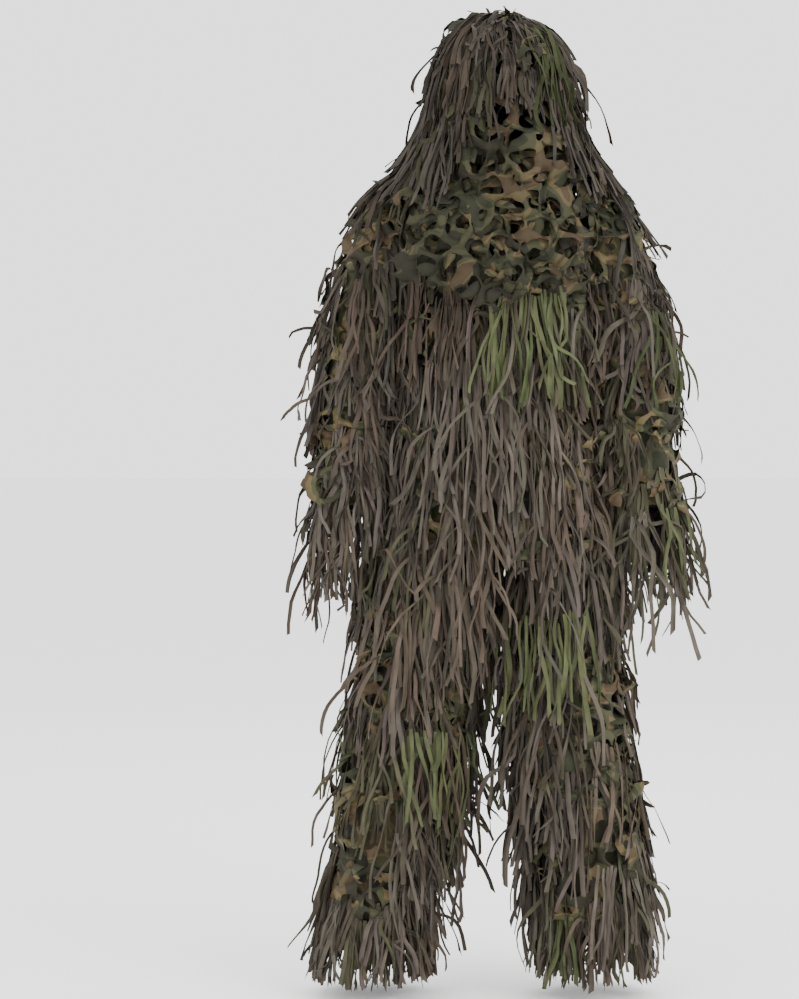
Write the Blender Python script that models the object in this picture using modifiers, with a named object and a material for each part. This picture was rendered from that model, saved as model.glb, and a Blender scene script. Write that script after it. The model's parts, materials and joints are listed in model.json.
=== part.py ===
"""Ghillie suit: button-front jacket, braced trousers and a lift-off hood with a face veil.

The suit is modelled hollow, as it hangs on a standing wearer with the arms at the sides.
Metres, +Z up. The origin is the middle of the wearer's shoulder line, where the braces and
the jacket's yoke bear. The suit faces -Y, and the wearer's left is +X.

Each stretch of the suit is a cloth tube round a limb with a thick layer of netting and hanging
strands outside it. The stretches over the shoulders, elbows, hips and knees are soft pieces
that crumple when the limb bends.
"""

import math

import bmesh
import bpy
from mathutils import Matrix, Vector

SEGMENTS = 16  # points round each cross-section
X, Y, Z = Vector((1, 0, 0)), Vector((0, 1, 0)), Vector((0, 0, 1))

# Wearer's joints, as (distance from the middle, front-back place, height).
SHOULDER = Vector((0.200, 0.0, -0.030))
ELBOW = Vector((0.252, 0.012, -0.320))
WRIST = Vector((0.267, -0.030, -0.590))
HIP_HEIGHT, KNEE_HEIGHT, ANKLE_HEIGHT = -0.550, -0.980, -1.370
LEG_X = {  # how far each leg's hip, knee and ankle stand from the middle: the right foot is set wider
    "left": (0.097, 0.132, 0.188),
    "right": (0.100, 0.166, 0.236),
}

# Layers, counted outwards from the wearer's clearance.
LINING = 0.0015
CLOTH = 0.0025
LAYER_GAP = 0.0006
COVER_GAP = 0.0012
LIMB_GAP = 0.0070
CLOTH_START = LINING + LAYER_GAP
COVER_START = CLOTH_START + CLOTH + COVER_GAP

# The wearer's clearance round the torso: (height, half width, half depth).
TORSO = [
    (-0.445, 0.1580, 0.122),
    (-0.300, 0.1500, 0.118),
    (-0.150, 0.1475, 0.118),
    (-0.055, 0.1475, 0.108),
    (-0.020, 0.1350, 0.095),
    (0.010, 0.0800, 0.078),
]
# The outside of the netting and strands round the torso.
TORSO_COVER = [
    (-0.445, 0.190, 0.167),
    (-0.300, 0.180, 0.162),
    (-0.150, 0.157, 0.158),
    (-0.055, 0.157, 0.140),
]
SKIRT_HEM = -0.655
SEAM_GAP = 0.0005  # half the gap at a seam between two panels
PLACKET_HALF = 0.020
ARMHOLE_HEIGHT, ARMHOLE_RADIUS = -0.083, 0.057

BUTTON_RADIUS, BUTTON_THICKNESS, BUTTON_SHANK = 0.011, 0.004, 0.0024
BUTTON_COUNT, TOP_BUTTON, BUTTON_PITCH = 5, -0.090, 0.078

WEBBING_WIDTH, WEBBING = 0.035, 0.002
BRACE_X, BRACE_Y = 0.075, -0.081  # the straight front run that the slider travels on
SLIDER_HEIGHT = -0.240

HOOD_PIVOT = (0, 0.150, 0.090)  # the fold at the nape
VEIL_PIVOT = (0, -0.158, 0.258)  # the seam at the brow

BAND_WIDTH, ELASTIC = 0.028, 0.003
TAB_WIDTH, TAB, TAB_GAP = 0.024, 0.002, 0.001
TAB_END = 0.72  # how far forward a tab's sewn end is, as a share of the band's half depth

SLEEVE_IN, SLEEVE_COVER = (0.053, 0.058), (0.076, 0.085)
NOTCH = 25.0  # degrees that a tube's end slants at an elbow or knee, to leave room for the bend


# ---------------------------------------------------------------- materials


def material(name, color, roughness, metallic=0.0):
    made = bpy.data.materials.new(name)
    made.use_nodes = True
    shader = made.node_tree.nodes["Principled BSDF"]
    shader.inputs["Base Color"].default_value = (*color, 1.0)
    shader.inputs["Roughness"].default_value = roughness
    shader.inputs["Metallic"].default_value = metallic
    made.diffuse_color = (*color, 1.0)
    return made


# ---------------------------------------------------------------- making meshes


def ring(centre, radii, across=X, along=Y, shift=0.0, lift=0.0):
    """Points of an ellipse; lift raises its two sides, as cloth lies higher on the shoulders."""
    points = []
    for k in range(SEGMENTS):
        turn = 2 * math.pi * k / SEGMENTS
        c, s = math.cos(turn), math.sin(turn)
        place = Vector(centre) + across * (shift + radii[0] * c) + along * (radii[1] * s)
        points.append(place + Z * lift * c * c)
    return points


def bridge(bm, lower, upper):
    count = len(lower)
    for k in range(count):
        n = (k + 1) % count
        bm.faces.new((lower[k], lower[n], upper[n], upper[k]))


def loft(rings, loop=False, cap_after=None):
    """A surface through the rings in turn. loop joins the last ring to the first, which makes a
    closed wall; cap_after closes the rings on either side of that index with flat faces."""
    bm = bmesh.new()
    rows = [[bm.verts.new(p) for p in points] for points in rings]
    for index in range(len(rows) - 1):
        if index != cap_after:
            bridge(bm, rows[index], rows[index + 1])
    if cap_after is not None:
        bm.faces.new(rows[cap_after])
        bm.faces.new(rows[cap_after + 1])
    if loop:
        bridge(bm, rows[-1], rows[0])
        bmesh.ops.recalc_face_normals(bm, faces=bm.faces)
    else:
        face_outwards(bm, rings[0])
    return bm


def face_outwards(bm, first_ring):
    bm.normal_update()
    bm.faces.ensure_lookup_table()
    face = bm.faces[0]
    middle = sum(first_ring, Vector()) / len(first_ring)
    if face.normal.dot(face.calc_center_median() - middle) < 0:
        bmesh.ops.reverse_faces(bm, faces=bm.faces)


def cut_away(bm, point, normal, close):
    """Removes what lies on the normal's side of a plane, and closes the cut of a solid."""
    everything = bm.verts[:] + bm.edges[:] + bm.faces[:]
    made = bmesh.ops.bisect_plane(
        bm, geom=everything, dist=1e-6, plane_co=point, plane_no=normal, clear_outer=True
    )
    if close:
        edges = [g for g in made["geom_cut"] if isinstance(g, bmesh.types.BMEdge)]
        bmesh.ops.holes_fill(bm, edges=edges)
        bmesh.ops.recalc_face_normals(bm, faces=bm.faces)
    return bm


def piece(name, bm, finish, collection):
    mesh = bpy.data.meshes.new(name)
    bm.to_mesh(mesh)
    bm.free()
    mesh.shade_smooth()
    mesh.set_sharp_from_angle(angle=math.radians(40))
    made = bpy.data.objects.new(name, mesh)
    made.data.materials.append(finish)
    collection.objects.link(made)
    return made


def set_origin(made, point):
    """Moves the object's origin to a point, such as a joint, and leaves the shape in place."""
    made.data.transform(Matrix.Translation(-Vector(point)))
    made.location = point
    return made


def thicken(made, thickness, start=0.0):
    """Gives an open surface a wall that begins at start outwards from it."""
    solidify = made.modifiers.new("wall", "SOLIDIFY")
    solidify.thickness = thickness
    solidify.offset = 1 + 2 * start / thickness
    solidify.use_even_offset = True
    return made


def cut_with(made, cutter):
    boolean = made.modifiers.new("opening", "BOOLEAN")
    boolean.operation = "DIFFERENCE"
    boolean.object = cutter
    return made


def between(values, height):
    """Linear reading of a list of (height, a, b, ...) rows at a height."""
    rows = sorted(values)
    for low, high in zip(rows, rows[1:]):
        if height <= high[0] + 1e-9:
            share = (height - low[0]) / (high[0] - low[0])
            return [a + share * (b - a) for a, b in zip(low[1:], high[1:])]
    return list(rows[-1][1:])


# ---------------------------------------------------------------- torso


def torso_rings():
    return [ring((0, 0, z), (half_width, half_depth)) for z, half_width, half_depth in TORSO]


def torso_panel(name, finish, start, thickness, cuts, collection, cutter):
    bm = loft(torso_rings())
    for point, normal in cuts:
        cut_away(bm, point, normal, close=False)
    made = piece(name, bm, finish, collection)
    thicken(made, thickness, start)
    return cut_with(made, cutter)


def torso_cover(name, finish, cuts, collection, cutter):
    outer = [ring((0, 0, z), radii) for z, *radii in TORSO_COVER]
    inner = []
    for z, *_ in reversed(TORSO_COVER):
        half_width, half_depth = between(TORSO, z)
        inner.append(ring((0, 0, z), (half_width + COVER_START, half_depth + COVER_START)))
    bm = loft(outer + inner, loop=True)
    for point, normal in cuts:
        cut_away(bm, point, normal, close=True)
    return cut_with(piece(name, bm, finish, collection), cutter)


def armhole_cutter(helpers):
    bpy.ops.mesh.primitive_cylinder_add(
        vertices=SEGMENTS,
        radius=ARMHOLE_RADIUS,
        depth=0.6,
        location=(0, 0, ARMHOLE_HEIGHT),
        rotation=(0, math.radians(90), 0),
    )
    return helper(bpy.context.object, "armhole_cutter", helpers)


def helper(made, name, helpers):
    made.name = name
    made.hide_render = True
    made.display_type = "WIRE"
    for other in list(made.users_collection):
        other.objects.unlink(made)
    helpers.objects.link(made)
    return made


def build_jacket(parts, helpers, finishes):
    cutter = armhole_cutter(helpers)
    back = [((0, SEAM_GAP, 0), -Y)]
    left = [((0, -SEAM_GAP, 0), Y), ((SEAM_GAP, 0, 0), -X)]
    right = [((0, -SEAM_GAP, 0), Y), ((-SEAM_GAP, 0, 0), X)]
    cloth, cover = finishes["cloth"], finishes["strands"]
    torso_panel("jacket_lining", finishes["lining"], 0.0, LINING, [], parts, cutter)
    torso_panel("jacket_back", cloth, CLOTH_START, CLOTH, back, parts, cutter)
    torso_panel("jacket_front_left", cloth, CLOTH_START, CLOTH, left, parts, cutter)
    torso_panel("jacket_front_right", cloth, CLOTH_START, CLOTH, right, parts, cutter)
    # The strands leave the button placket bare, so their cuts stand back from the middle.
    bare = PLACKET_HALF + 0.002
    left_cover = [left[0], ((bare, 0, 0), -X)]
    right_cover = [right[0], ((-bare, 0, 0), X)]
    torso_cover("back_foliage", cover, back, parts, cutter)
    torso_cover("front_foliage_left", cover, left_cover, parts, cutter)
    torso_cover("front_foliage_right", cover, right_cover, parts, cutter)
    collar = loft([ring((0, 0, z), (0.0700, 0.078)) for z in (0.0145, 0.043)])
    thicken(piece("collar", collar, cloth, parts), 0.006)
    build_placket(parts, finishes)


def front_of_torso(height):
    """How far forward the cloth's outside stands at the middle."""
    return -(between(TORSO, height)[1] + CLOTH_START + CLOTH)


def build_placket(parts, finishes):
    heights = [-0.440, -0.300, -0.150, -0.060]
    path = [Vector((0, front_of_torso(z) - LAYER_GAP, z)) for z in heights]
    placket = strap("button_placket", path, 2 * PLACKET_HALF, finishes["cloth"], parts)
    placket.modifiers["wall"].offset = 1
    for index in range(BUTTON_COUNT):
        height = TOP_BUTTON - BUTTON_PITCH * index
        front = front_of_torso(height) - LAYER_GAP - WEBBING - BUTTON_SHANK
        bpy.ops.mesh.primitive_cylinder_add(
            vertices=14,
            radius=BUTTON_RADIUS,
            depth=BUTTON_THICKNESS,
            location=(0, front - BUTTON_THICKNESS / 2, height),
            rotation=(math.radians(90), 0, 0),
        )
        button = bpy.context.object
        button.name = f"button_{index + 1}"
        button.data.materials.append(finishes["plastic"])
        move_to(button, parts)


def move_to(made, collection):
    for other in list(made.users_collection):
        other.objects.unlink(made)
    collection.objects.link(made)
    return made


def build_skirt(parts, finishes):
    """The jacket's tail over the hips, in a left and a right half, which the thighs push up."""
    rows = [(-0.452, 0.190, 0.170), (-0.560, 0.191, 0.178), (SKIRT_HEM, 0.192, 0.184)]
    inner = [(-0.452, 0.168, 0.133), (-0.560, 0.174, 0.138), (SKIRT_HEM, 0.176, 0.142)]
    for side, sign in (("left", 1), ("right", -1)):
        bm = loft(
            [ring((0, 0, z), radii) for z, *radii in rows]
            + [ring((0, 0, z), radii) for z, *radii in reversed(inner)],
            loop=True,
        )
        cut_away(bm, (sign * SEAM_GAP, 0, 0), -X * sign, close=True)
        piece(f"jacket_skirt_{side}", bm, finishes["strands"], parts)


# ---------------------------------------------------------------- trousers, waist and braces


def strap(name, path, width, finish, collection, across=X):
    """Webbing along a path; its width lies along across. The wall grows away from the wearer."""
    bm = bmesh.new()
    rows = [
        (bm.verts.new(p - across * width / 2), bm.verts.new(p + across * width / 2)) for p in path
    ]
    for (a, b), (c, d) in zip(rows, rows[1:]):
        bm.faces.new((a, b, d, c))
    made = piece(name, bm, finish, collection)
    return thicken(made, WEBBING)


def build_waist(parts, finishes):
    """A waistband that is folded into a tunnel, open below, with the drawstring inside it."""
    top, bottom, roof = -0.387, -0.425, -0.391
    outside, inside = (0.1545, 0.1195), (0.1450, 0.1100)
    tunnel_out, tunnel_in = (0.1530, 0.1180), (0.1465, 0.1115)
    rows = [
        (bottom, outside),
        (top, outside),
        (top, inside),
        (bottom, inside),
        (bottom, tunnel_in),
        (roof, tunnel_in),
        (roof, tunnel_out),
        (bottom, tunnel_out),
    ]
    bm = loft([ring((0, 0, z), radii) for z, radii in rows], loop=True)
    piece("waistband", bm, finishes["cloth"], parts)
    build_drawstring(parts, finishes, (tunnel_out, tunnel_in))


def build_drawstring(parts, finishes, walls):
    """The cord lies in the tunnel from one front eyelet round the back to the other."""
    radius, height = 0.0020, -0.405
    middle = [(a + b) / 2 for a, b in zip(*walls)]
    corners = ring((0, 0, height), middle)
    front = SEGMENTS * 3 // 4
    route = corners[front + 1 :] + corners[:front]
    curve = bpy.data.curves.new("waist_drawstring", "CURVE")
    curve.dimensions = "3D"
    curve.bevel_depth = radius
    curve.bevel_resolution = 2
    curve.use_fill_caps = True
    spline = curve.splines.new("POLY")
    spline.points.add(len(route) - 1)
    for point, place in zip(spline.points, route):
        point.co = (*place, 1)
    curve.materials.append(finishes["webbing"])
    parts.objects.link(bpy.data.objects.new("waist_drawstring", curve))


def brace_path(sign):
    """From the front waist, over the shoulder on a flat stretch, to the middle of the back."""
    front = [(BRACE_X, BRACE_Y, -0.384), (BRACE_X, BRACE_Y, -0.115)]
    over = [
        (0.082, -0.074, -0.060),
        (0.088, -0.056, -0.026),
        (0.090, -0.028, -0.009),
        (0.090, 0.028, -0.009),
        (0.087, 0.058, -0.027),
    ]
    back = [(0.070, 0.085, -0.075), (0.042, 0.098, -0.125), (0.020, 0.102, -0.165)]
    return [Vector((sign * x, y, z)) for x, y, z in front + over + back]


def build_braces(parts, finishes):
    webbing = finishes["webbing"]
    for side, sign in (("left", 1), ("right", -1)):
        made = strap(f"brace_{side}", brace_path(sign), WEBBING_WIDTH, webbing, parts)
        made.modifiers["wall"].offset = -1
        build_slider(side, sign, parts, finishes)
    tail = [Vector((0, 0.104, z)) for z in (-0.384, -0.168)]
    strap("brace_back_strap", tail, 0.078, webbing, parts)


def build_slider(side, sign, parts, finishes):
    """A ladder-lock: a frame round the webbing, with a slot that the webbing runs through."""
    middle = Vector((sign * BRACE_X, BRACE_Y + WEBBING / 2, SLIDER_HEIGHT))
    outside = [(0.0225, 0.0045), (0.0190, 0.0020)]
    rows = []
    for height, (half_width, half_depth) in ((-0.014, outside[0]), (0.014, outside[0])):
        rows.append(box_ring(middle + Z * height, half_width, half_depth))
    for height, (half_width, half_depth) in ((0.014, outside[1]), (-0.014, outside[1])):
        rows.append(box_ring(middle + Z * height, half_width, half_depth))
    made = piece(f"brace_slider_{side}", loft(rows, loop=True), finishes["plastic"], parts)
    set_origin(made, middle)


def box_ring(centre, half_width, half_depth):
    corners = ((-1, -1), (1, -1), (1, 1), (-1, 1))
    return [centre + X * half_width * a + Y * half_depth * b for a, b in corners]


def build_seat(parts, finishes):
    """The trousers' seat, in the left and right halves that the centre seam joins."""
    rows = [(-0.655, 0.165, 0.126), (-0.600, 0.165, 0.126), (-0.520, 0.162, 0.123)]
    rows.append((-0.430, 0.150, 0.112))
    for side, sign in (("left", 1), ("right", -1)):
        bm = loft([ring((0, 0, z), radii) for z, *radii in rows])
        cut_away(bm, (sign * SEAM_GAP, 0, 0), -X * sign, close=False)
        thicken(piece(f"trouser_seat_{side}", bm, finishes["cloth"], parts), CLOTH)


# ---------------------------------------------------------------- limbs


def limb_ring(centre, axis, radii, sign, shift=0.0, slant=0.0):
    """A ring square to a limb's axis, with its across direction away from the middle of the suit.
    slant tips it about that direction, in degrees, so that its front is higher than its back."""
    axis = Vector(axis).normalized()
    away = (X * sign - axis * axis.dot(X * sign)).normalized()
    along = axis.cross(away) if axis.cross(away).y > 0 else away.cross(axis)
    tipped = along - axis * math.tan(math.radians(slant)) * (1 if axis.z > 0 else -1)
    return ring(centre, radii, away, tipped, shift)


def tube(name, rows, finish, parts, origin):
    """A cloth tube: rows of (centre, axis, inner radii, sign, slant)."""
    rings = [limb_ring(c, axis, radii, sign, 0.0, slant) for c, axis, radii, sign, slant in rows]
    made = piece(name, loft(rings), finish, parts)
    set_origin(made, origin)
    return thicken(made, CLOTH)


def cover(name, rows, finish, parts, origin, start=CLOTH + LIMB_GAP):
    """A layer of strands: rows of (centre, axis, inner radii, sign, slant, outer radii, shift)."""
    inner, outer = [], []
    for centre, axis, radii, sign, slant, outside, shift in rows:
        grown = (radii[0] + start, radii[1] + start)
        inner.append(limb_ring(centre, axis, grown, sign, 0.0, slant))
        outer.append(limb_ring(centre, axis, outside, sign, shift, slant))
    made = piece(name, loft(outer + inner[::-1], loop=True), finish, parts)
    return set_origin(made, origin)


def build_sleeve(side, sign, parts, helpers, finishes):
    shoulder, elbow, wrist = (Vector((sign * p.x, p.y, p.z)) for p in (SHOULDER, ELBOW, WRIST))
    upper, lower = (elbow - shoulder).normalized(), (wrist - elbow).normalized()
    cloth, strands = finishes["cloth"], finishes["strands"]
    build_sleeve_head(side, sign, shoulder, upper, parts, finishes)

    # Upper arm: from below the armpit to just above the elbow.
    top, end = shoulder + upper * 0.106, shoulder + upper * 0.225
    rows = [(top, upper, SLEEVE_IN, sign, 0.0), (end, upper, (0.056, 0.060), sign, NOTCH)]
    tube(f"upper_sleeve_{side}", rows, cloth, parts, shoulder)
    outside = [(SLEEVE_COVER, 0.0180), ((0.080, 0.088), 0.0180)]
    covered = [(*row, *more) for row, more in zip(rows, outside)]
    cover(f"upper_sleeve_foliage_{side}", covered, strands, parts, shoulder)

    # Elbow: a soft stretch that folds on its front.
    gap = 0.0015
    rows = [
        (end + upper * gap, upper, (0.056, 0.060), sign, NOTCH, (0.078, 0.084), 0.016),
        (elbow, (upper + lower) / 2, (0.056, 0.060), sign, 0.0, (0.079, 0.084), 0.016),
        (elbow + lower * (0.070 - gap), lower, (0.056, 0.060), sign, -NOTCH, (0.078, 0.084), 0.016),
    ]
    cover(f"elbow_{side}", rows, strands, parts, elbow, start=0.0)

    # Forearm: down to the elastic cuff, with strands that hang past it.
    start = elbow + lower * 0.070
    rows = [
        (start, lower, (0.056, 0.060), sign, -NOTCH),
        (elbow + lower * 0.205, lower, (0.054, 0.056), sign, 0.0),
        (elbow + lower * 0.240, lower, (0.046, 0.048), sign, 0.0),
    ]
    tube(f"forearm_sleeve_{side}", rows, cloth, parts, elbow)
    outside = [((0.080, 0.088), 0.0185), ((0.084, 0.090), 0.0215)]
    covered = [(*row, *more) for row, more in zip(rows[:2], outside)]
    fringe = [
        (elbow + lower * 0.285, lower, (0.048, 0.050), sign, 0.0, (0.084, 0.092), 0.0235),
        (elbow + lower * 0.340, lower, (0.030, 0.050), sign, 0.0, (0.075, 0.090), 0.0300),
        (elbow + lower * 0.385, lower, (0.018, 0.048), sign, 0.0, (0.066, 0.088), 0.0350),
    ]
    made = cover(f"forearm_foliage_{side}", covered + fringe, strands, parts, elbow)
    front = Vector((sign * 0.275, -0.200, -0.680))
    cut_with(made, box_cutter(f"cuff_notch_{side}", front, (0.30, 0.28, 0.290), helpers))
    build_fastening("cuff", side, sign, wrist - lower * 0.030, lower, (0.044, 0.046), parts, finishes)


def build_sleeve_head(side, sign, shoulder, upper, parts, finishes):
    """Rings that fan out from the armpit, from the armhole's rim round to the top of the sleeve."""
    armpit = Vector((sign * 0.1605, 0, -0.1400))
    last_turn = math.degrees(math.atan2(abs(upper.z), abs(upper.x)))
    rows = [(0.0, 0.058, 0.0015, 0.062, 0.010), (30.0, 0.060, 0.0020, 0.068, 0.020)]
    rows += [(58.0, 0.058, 0.0020, 0.072, 0.028), (last_turn - 1, 0.056, 0.0020, 0.074, 0.032)]
    inner, outer = [], []
    for turn, radius, thin, outside, thick in rows:
        angle = math.radians(turn)
        away = X * sign * math.sin(angle) + Z * math.cos(angle)
        middle = armpit + away * (thin + radius)
        inner.append(ring(middle, (radius, radius), away, Y))
        half = (2 * radius + thin + thick) / 2
        outer.append(ring(armpit + away * half, (half, outside + 0.008), away, Y))
    made = piece(f"sleeve_head_{side}", loft(outer + inner[::-1], loop=True), finishes["strands"], parts)
    set_origin(made, shoulder)


def box_cutter(name, centre, size, helpers):
    bpy.ops.mesh.primitive_cube_add(size=1, location=centre)
    made = bpy.context.object
    made.data.transform(Matrix.Diagonal((*size, 1)))
    return helper(made, name, helpers)


def build_fastening(what, side, sign, centre, axis, radii, parts, finishes):
    """An elastic band, and the hook-and-loop tab across its front, sewn down at its outer end."""
    rows = [(centre, axis, radii, sign, 0.0), (centre + axis * BAND_WIDTH, axis, radii, sign, 0.0)]
    band = tube(f"{what}_elastic_{side}", rows, finishes["elastic"], parts, centre)
    band.modifiers["wall"].thickness = ELASTIC
    away = (X * sign - axis * axis.dot(X * sign)).normalized()
    along = (Y - axis * axis.y).normalized()
    under = [radius + ELASTIC + TAB_GAP for radius in radii]
    over = [radius + TAB for radius in under]
    inset = (BAND_WIDTH - TAB_WIDTH) / 2
    rings = [limb_ring(centre + axis * drop, axis, under, sign) for drop in (inset, inset + TAB_WIDTH)]
    bm = cut_away(loft(rings), centre - along * TAB_END * under[1], along, close=False)
    tab = piece(f"{what}_strap_{side}", bm, finishes["hook_loop"], parts)
    seam = centre + away * over[0] * math.sqrt(1 - TAB_END**2) - along * over[1] * TAB_END
    set_origin(tab, seam)
    thicken(tab, TAB)


def leg_centre(side, sign, height):
    hip, knee, ankle = LEG_X[side]
    rows = [(HIP_HEIGHT, hip), (KNEE_HEIGHT, knee), (ANKLE_HEIGHT, ankle)]
    rows.append((ANKLE_HEIGHT - 0.1, ankle + 0.1 * (ankle - knee) / (KNEE_HEIGHT - ANKLE_HEIGHT)))
    return Vector((sign * between(rows, height)[0], 0, height))


def build_leg(side, sign, parts, helpers, finishes):
    cloth, strands = finishes["cloth"], finishes["strands"]
    hip, knee = leg_centre(side, sign, HIP_HEIGHT), leg_centre(side, sign, KNEE_HEIGHT)
    down = -Z

    def row(height, inner, slant, outer, shift):
        return (leg_centre(side, sign, height), down, inner, sign, slant, outer, shift)

    thigh = [
        row(-0.665, (0.082, 0.100), 0.0, (0.103, 0.126), 0.0040),
        row(-0.780, (0.083, 0.096), 0.0, (0.108, 0.134), 0.0020),
        row(-0.890, (0.082, 0.092), -NOTCH, (0.114, 0.138), 0.0000),
    ]
    knee_part = [
        row(-0.892, (0.082, 0.092), -NOTCH, (0.112, 0.134), 0.0),
        row(-0.980, (0.082, 0.092), 0.0, (0.114, 0.136), 0.0),
        row(-1.068, (0.082, 0.092), NOTCH, (0.118, 0.136), 0.0040),
    ]
    shin = [
        row(-1.070, (0.082, 0.092), NOTCH, (0.120, 0.138), 0.0040),
        row(-1.220, (0.080, 0.090), 0.0, (0.130, 0.144), 0.0060),
        row(-1.345, (0.074, 0.084), 0.0, (0.130, 0.148), 0.0060),
    ]
    hem = [
        row(-1.400, (0.076, 0.086), 0.0, (0.130, 0.150), 0.0060),
        row(-1.455, (0.088, 0.098), 0.0, (0.124, 0.146), 0.0060),
    ]
    tube(f"thigh_{side}", [r[:5] for r in thigh], cloth, parts, hip)
    cover(f"thigh_foliage_{side}", thigh, strands, parts, hip)
    cover(f"knee_{side}", knee_part, strands, parts, knee, start=0.0)
    tube(f"shin_{side}", [r[:5] for r in shin], cloth, parts, knee)
    made = cover(f"shin_foliage_{side}", shin + hem, strands, parts, knee)
    ankle = leg_centre(side, sign, ANKLE_HEIGHT)
    front = Vector((ankle.x, -0.200, -1.430))
    cut_with(made, box_cutter(f"ankle_notch_{side}", front, (0.40, 0.28, 0.13), helpers))
    build_fastening("ankle", side, sign, ankle, down, (0.062, 0.068), parts, finishes)


# ---------------------------------------------------------------- hood


def dome(name, outer_rows, inner_rows, finish, parts, cutter):
    """A closed wall, open below, from rows of (height, half width, half depth) going up."""
    outer = [ring((0, -0.005, z), radii) for z, *radii in outer_rows]
    inner = [ring((0, -0.005, z), radii) for z, *radii in reversed(inner_rows)]
    bm = loft(outer + inner, loop=True, cap_after=len(outer) - 1)
    made = cut_with(piece(name, bm, finish, parts), cutter)
    return set_origin(made, HOOD_PIVOT)


def build_hood(parts, helpers, finishes):
    face = box_cutter("face_cutter", Vector((0, -0.150, 0.130)), (0.150, 0.200, 0.210), helpers)
    inside = [(0.092, 0.094, 0.110), (0.160, 0.106, 0.124), (0.230, 0.102, 0.120)]
    inside += [(0.285, 0.076, 0.090), (0.308, 0.036, 0.044)]
    cloth = [(z + (0.0025 if z > 0.2 else 0.0), a + 0.0025, b + 0.0025) for z, a, b in inside]
    dome("hood_shell", cloth, inside, finishes["cloth"], parts, face)
    under = [(z + (0.0040 if z > 0.2 else 0.0), a + 0.0036, b + 0.0036) for z, a, b in inside]
    outside = [(0.092, 0.148, 0.148), (0.187, 0.148, 0.150), (0.240, 0.140, 0.142)]
    outside += [(0.290, 0.115, 0.118), (0.328, 0.072, 0.075), (0.345, 0.030, 0.032)]
    dome("hood_foliage", outside, under, finishes["strands"], parts, face)
    rows = [(0.0475, 0.118, 0.126), (0.088, 0.140, 0.142)]
    inner = [(0.0475, 0.084, 0.094), (0.088, 0.092, 0.108)]
    bm = loft(
        [ring((0, -0.002, z), radii) for z, *radii in rows]
        + [ring((0, -0.002, z), radii) for z, *radii in reversed(inner)],
        loop=True,
    )
    piece("hood_neck", bm, finishes["cloth"], parts)


def build_cape(parts, finishes):
    rows = [
        (0.024, 0.090, 0.100, 0.0),
        (-0.010, 0.165, 0.133, 0.030),
        (-0.085, 0.222, 0.168, 0.092),
        (-0.187, 0.262, 0.178, 0.165),
    ]
    rings = [ring((0, 0, z), (a, b), lift=lift) for z, a, b, lift in reversed(rows)]
    thicken(piece("shoulder_cape", loft(rings), finishes["leaf_net"], parts), 0.020)


def build_veil(parts, finishes):
    """The net that hangs from the brow over the face and the front of the cape."""
    rows = [
        (-0.187, 0.300, 0.214),
        (-0.080, 0.270, 0.206),
        (0.040, 0.205, 0.184),
        (0.140, 0.172, 0.168),
        (0.250, 0.162, 0.160),
    ]
    bm = loft([ring((0, -0.004, z), radii) for z, *radii in rows])
    for point, normal in (((0, -0.050, 0), Y), ((0.138, 0, 0), X), ((-0.138, 0, 0), -X)):
        cut_away(bm, point, normal, close=False)
    made = piece("face_veil", bm, finishes["leaf_net"], parts)
    set_origin(made, VEIL_PIVOT)
    thicken(made, 0.014)


# ---------------------------------------------------------------- the whole suit


def main():
    for old in list(bpy.data.objects):
        bpy.data.objects.remove(old)
    parts = bpy.data.collections.new("ghillie_suit")
    helpers = bpy.data.collections.new("cutters")
    for made in (parts, helpers):
        bpy.context.scene.collection.children.link(made)
    finishes = {
        "cloth": material("base_cloth", (0.045, 0.042, 0.028), 0.85),
        "lining": material("lining_mesh", (0.018, 0.019, 0.014), 0.90),
        "strands": material("strands", (0.085, 0.075, 0.058), 0.80),
        "leaf_net": material("leaf_net", (0.090, 0.082, 0.042), 0.75),
        "webbing": material("webbing", (0.030, 0.032, 0.020), 0.80),
        "elastic": material("elastic", (0.012, 0.012, 0.011), 0.85),
        "hook_loop": material("hook_loop", (0.016, 0.017, 0.013), 0.95),
        "plastic": material("plastic", (0.035, 0.036, 0.024), 0.45),
    }
    build_jacket(parts, helpers, finishes)
    build_skirt(parts, finishes)
    build_waist(parts, finishes)
    build_braces(parts, finishes)
    build_seat(parts, finishes)
    for side, sign in (("left", 1), ("right", -1)):
        build_sleeve(side, sign, parts, helpers, finishes)
        build_leg(side, sign, parts, helpers, finishes)
    build_hood(parts, helpers, finishes)
    build_cape(parts, finishes)
    build_veil(parts, finishes)


main()
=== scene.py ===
"""Looks of the ghillie suit: hanging strips, leaf-cut camouflage net and the cloth under them.

The suit is dressed the way it is sewn. Each stretch of the garment has a smooth skin, and on it go
a cloth liner, a net that is cut into leaf shapes, and rows of strips in bunches. A strip is laid by
walking it down from its root: it leans towards the ground, and the skins push it out.
"""

import json
import math

import bpy
import numpy as np
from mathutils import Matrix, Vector
from mathutils.bvhtree import BVHTree


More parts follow.
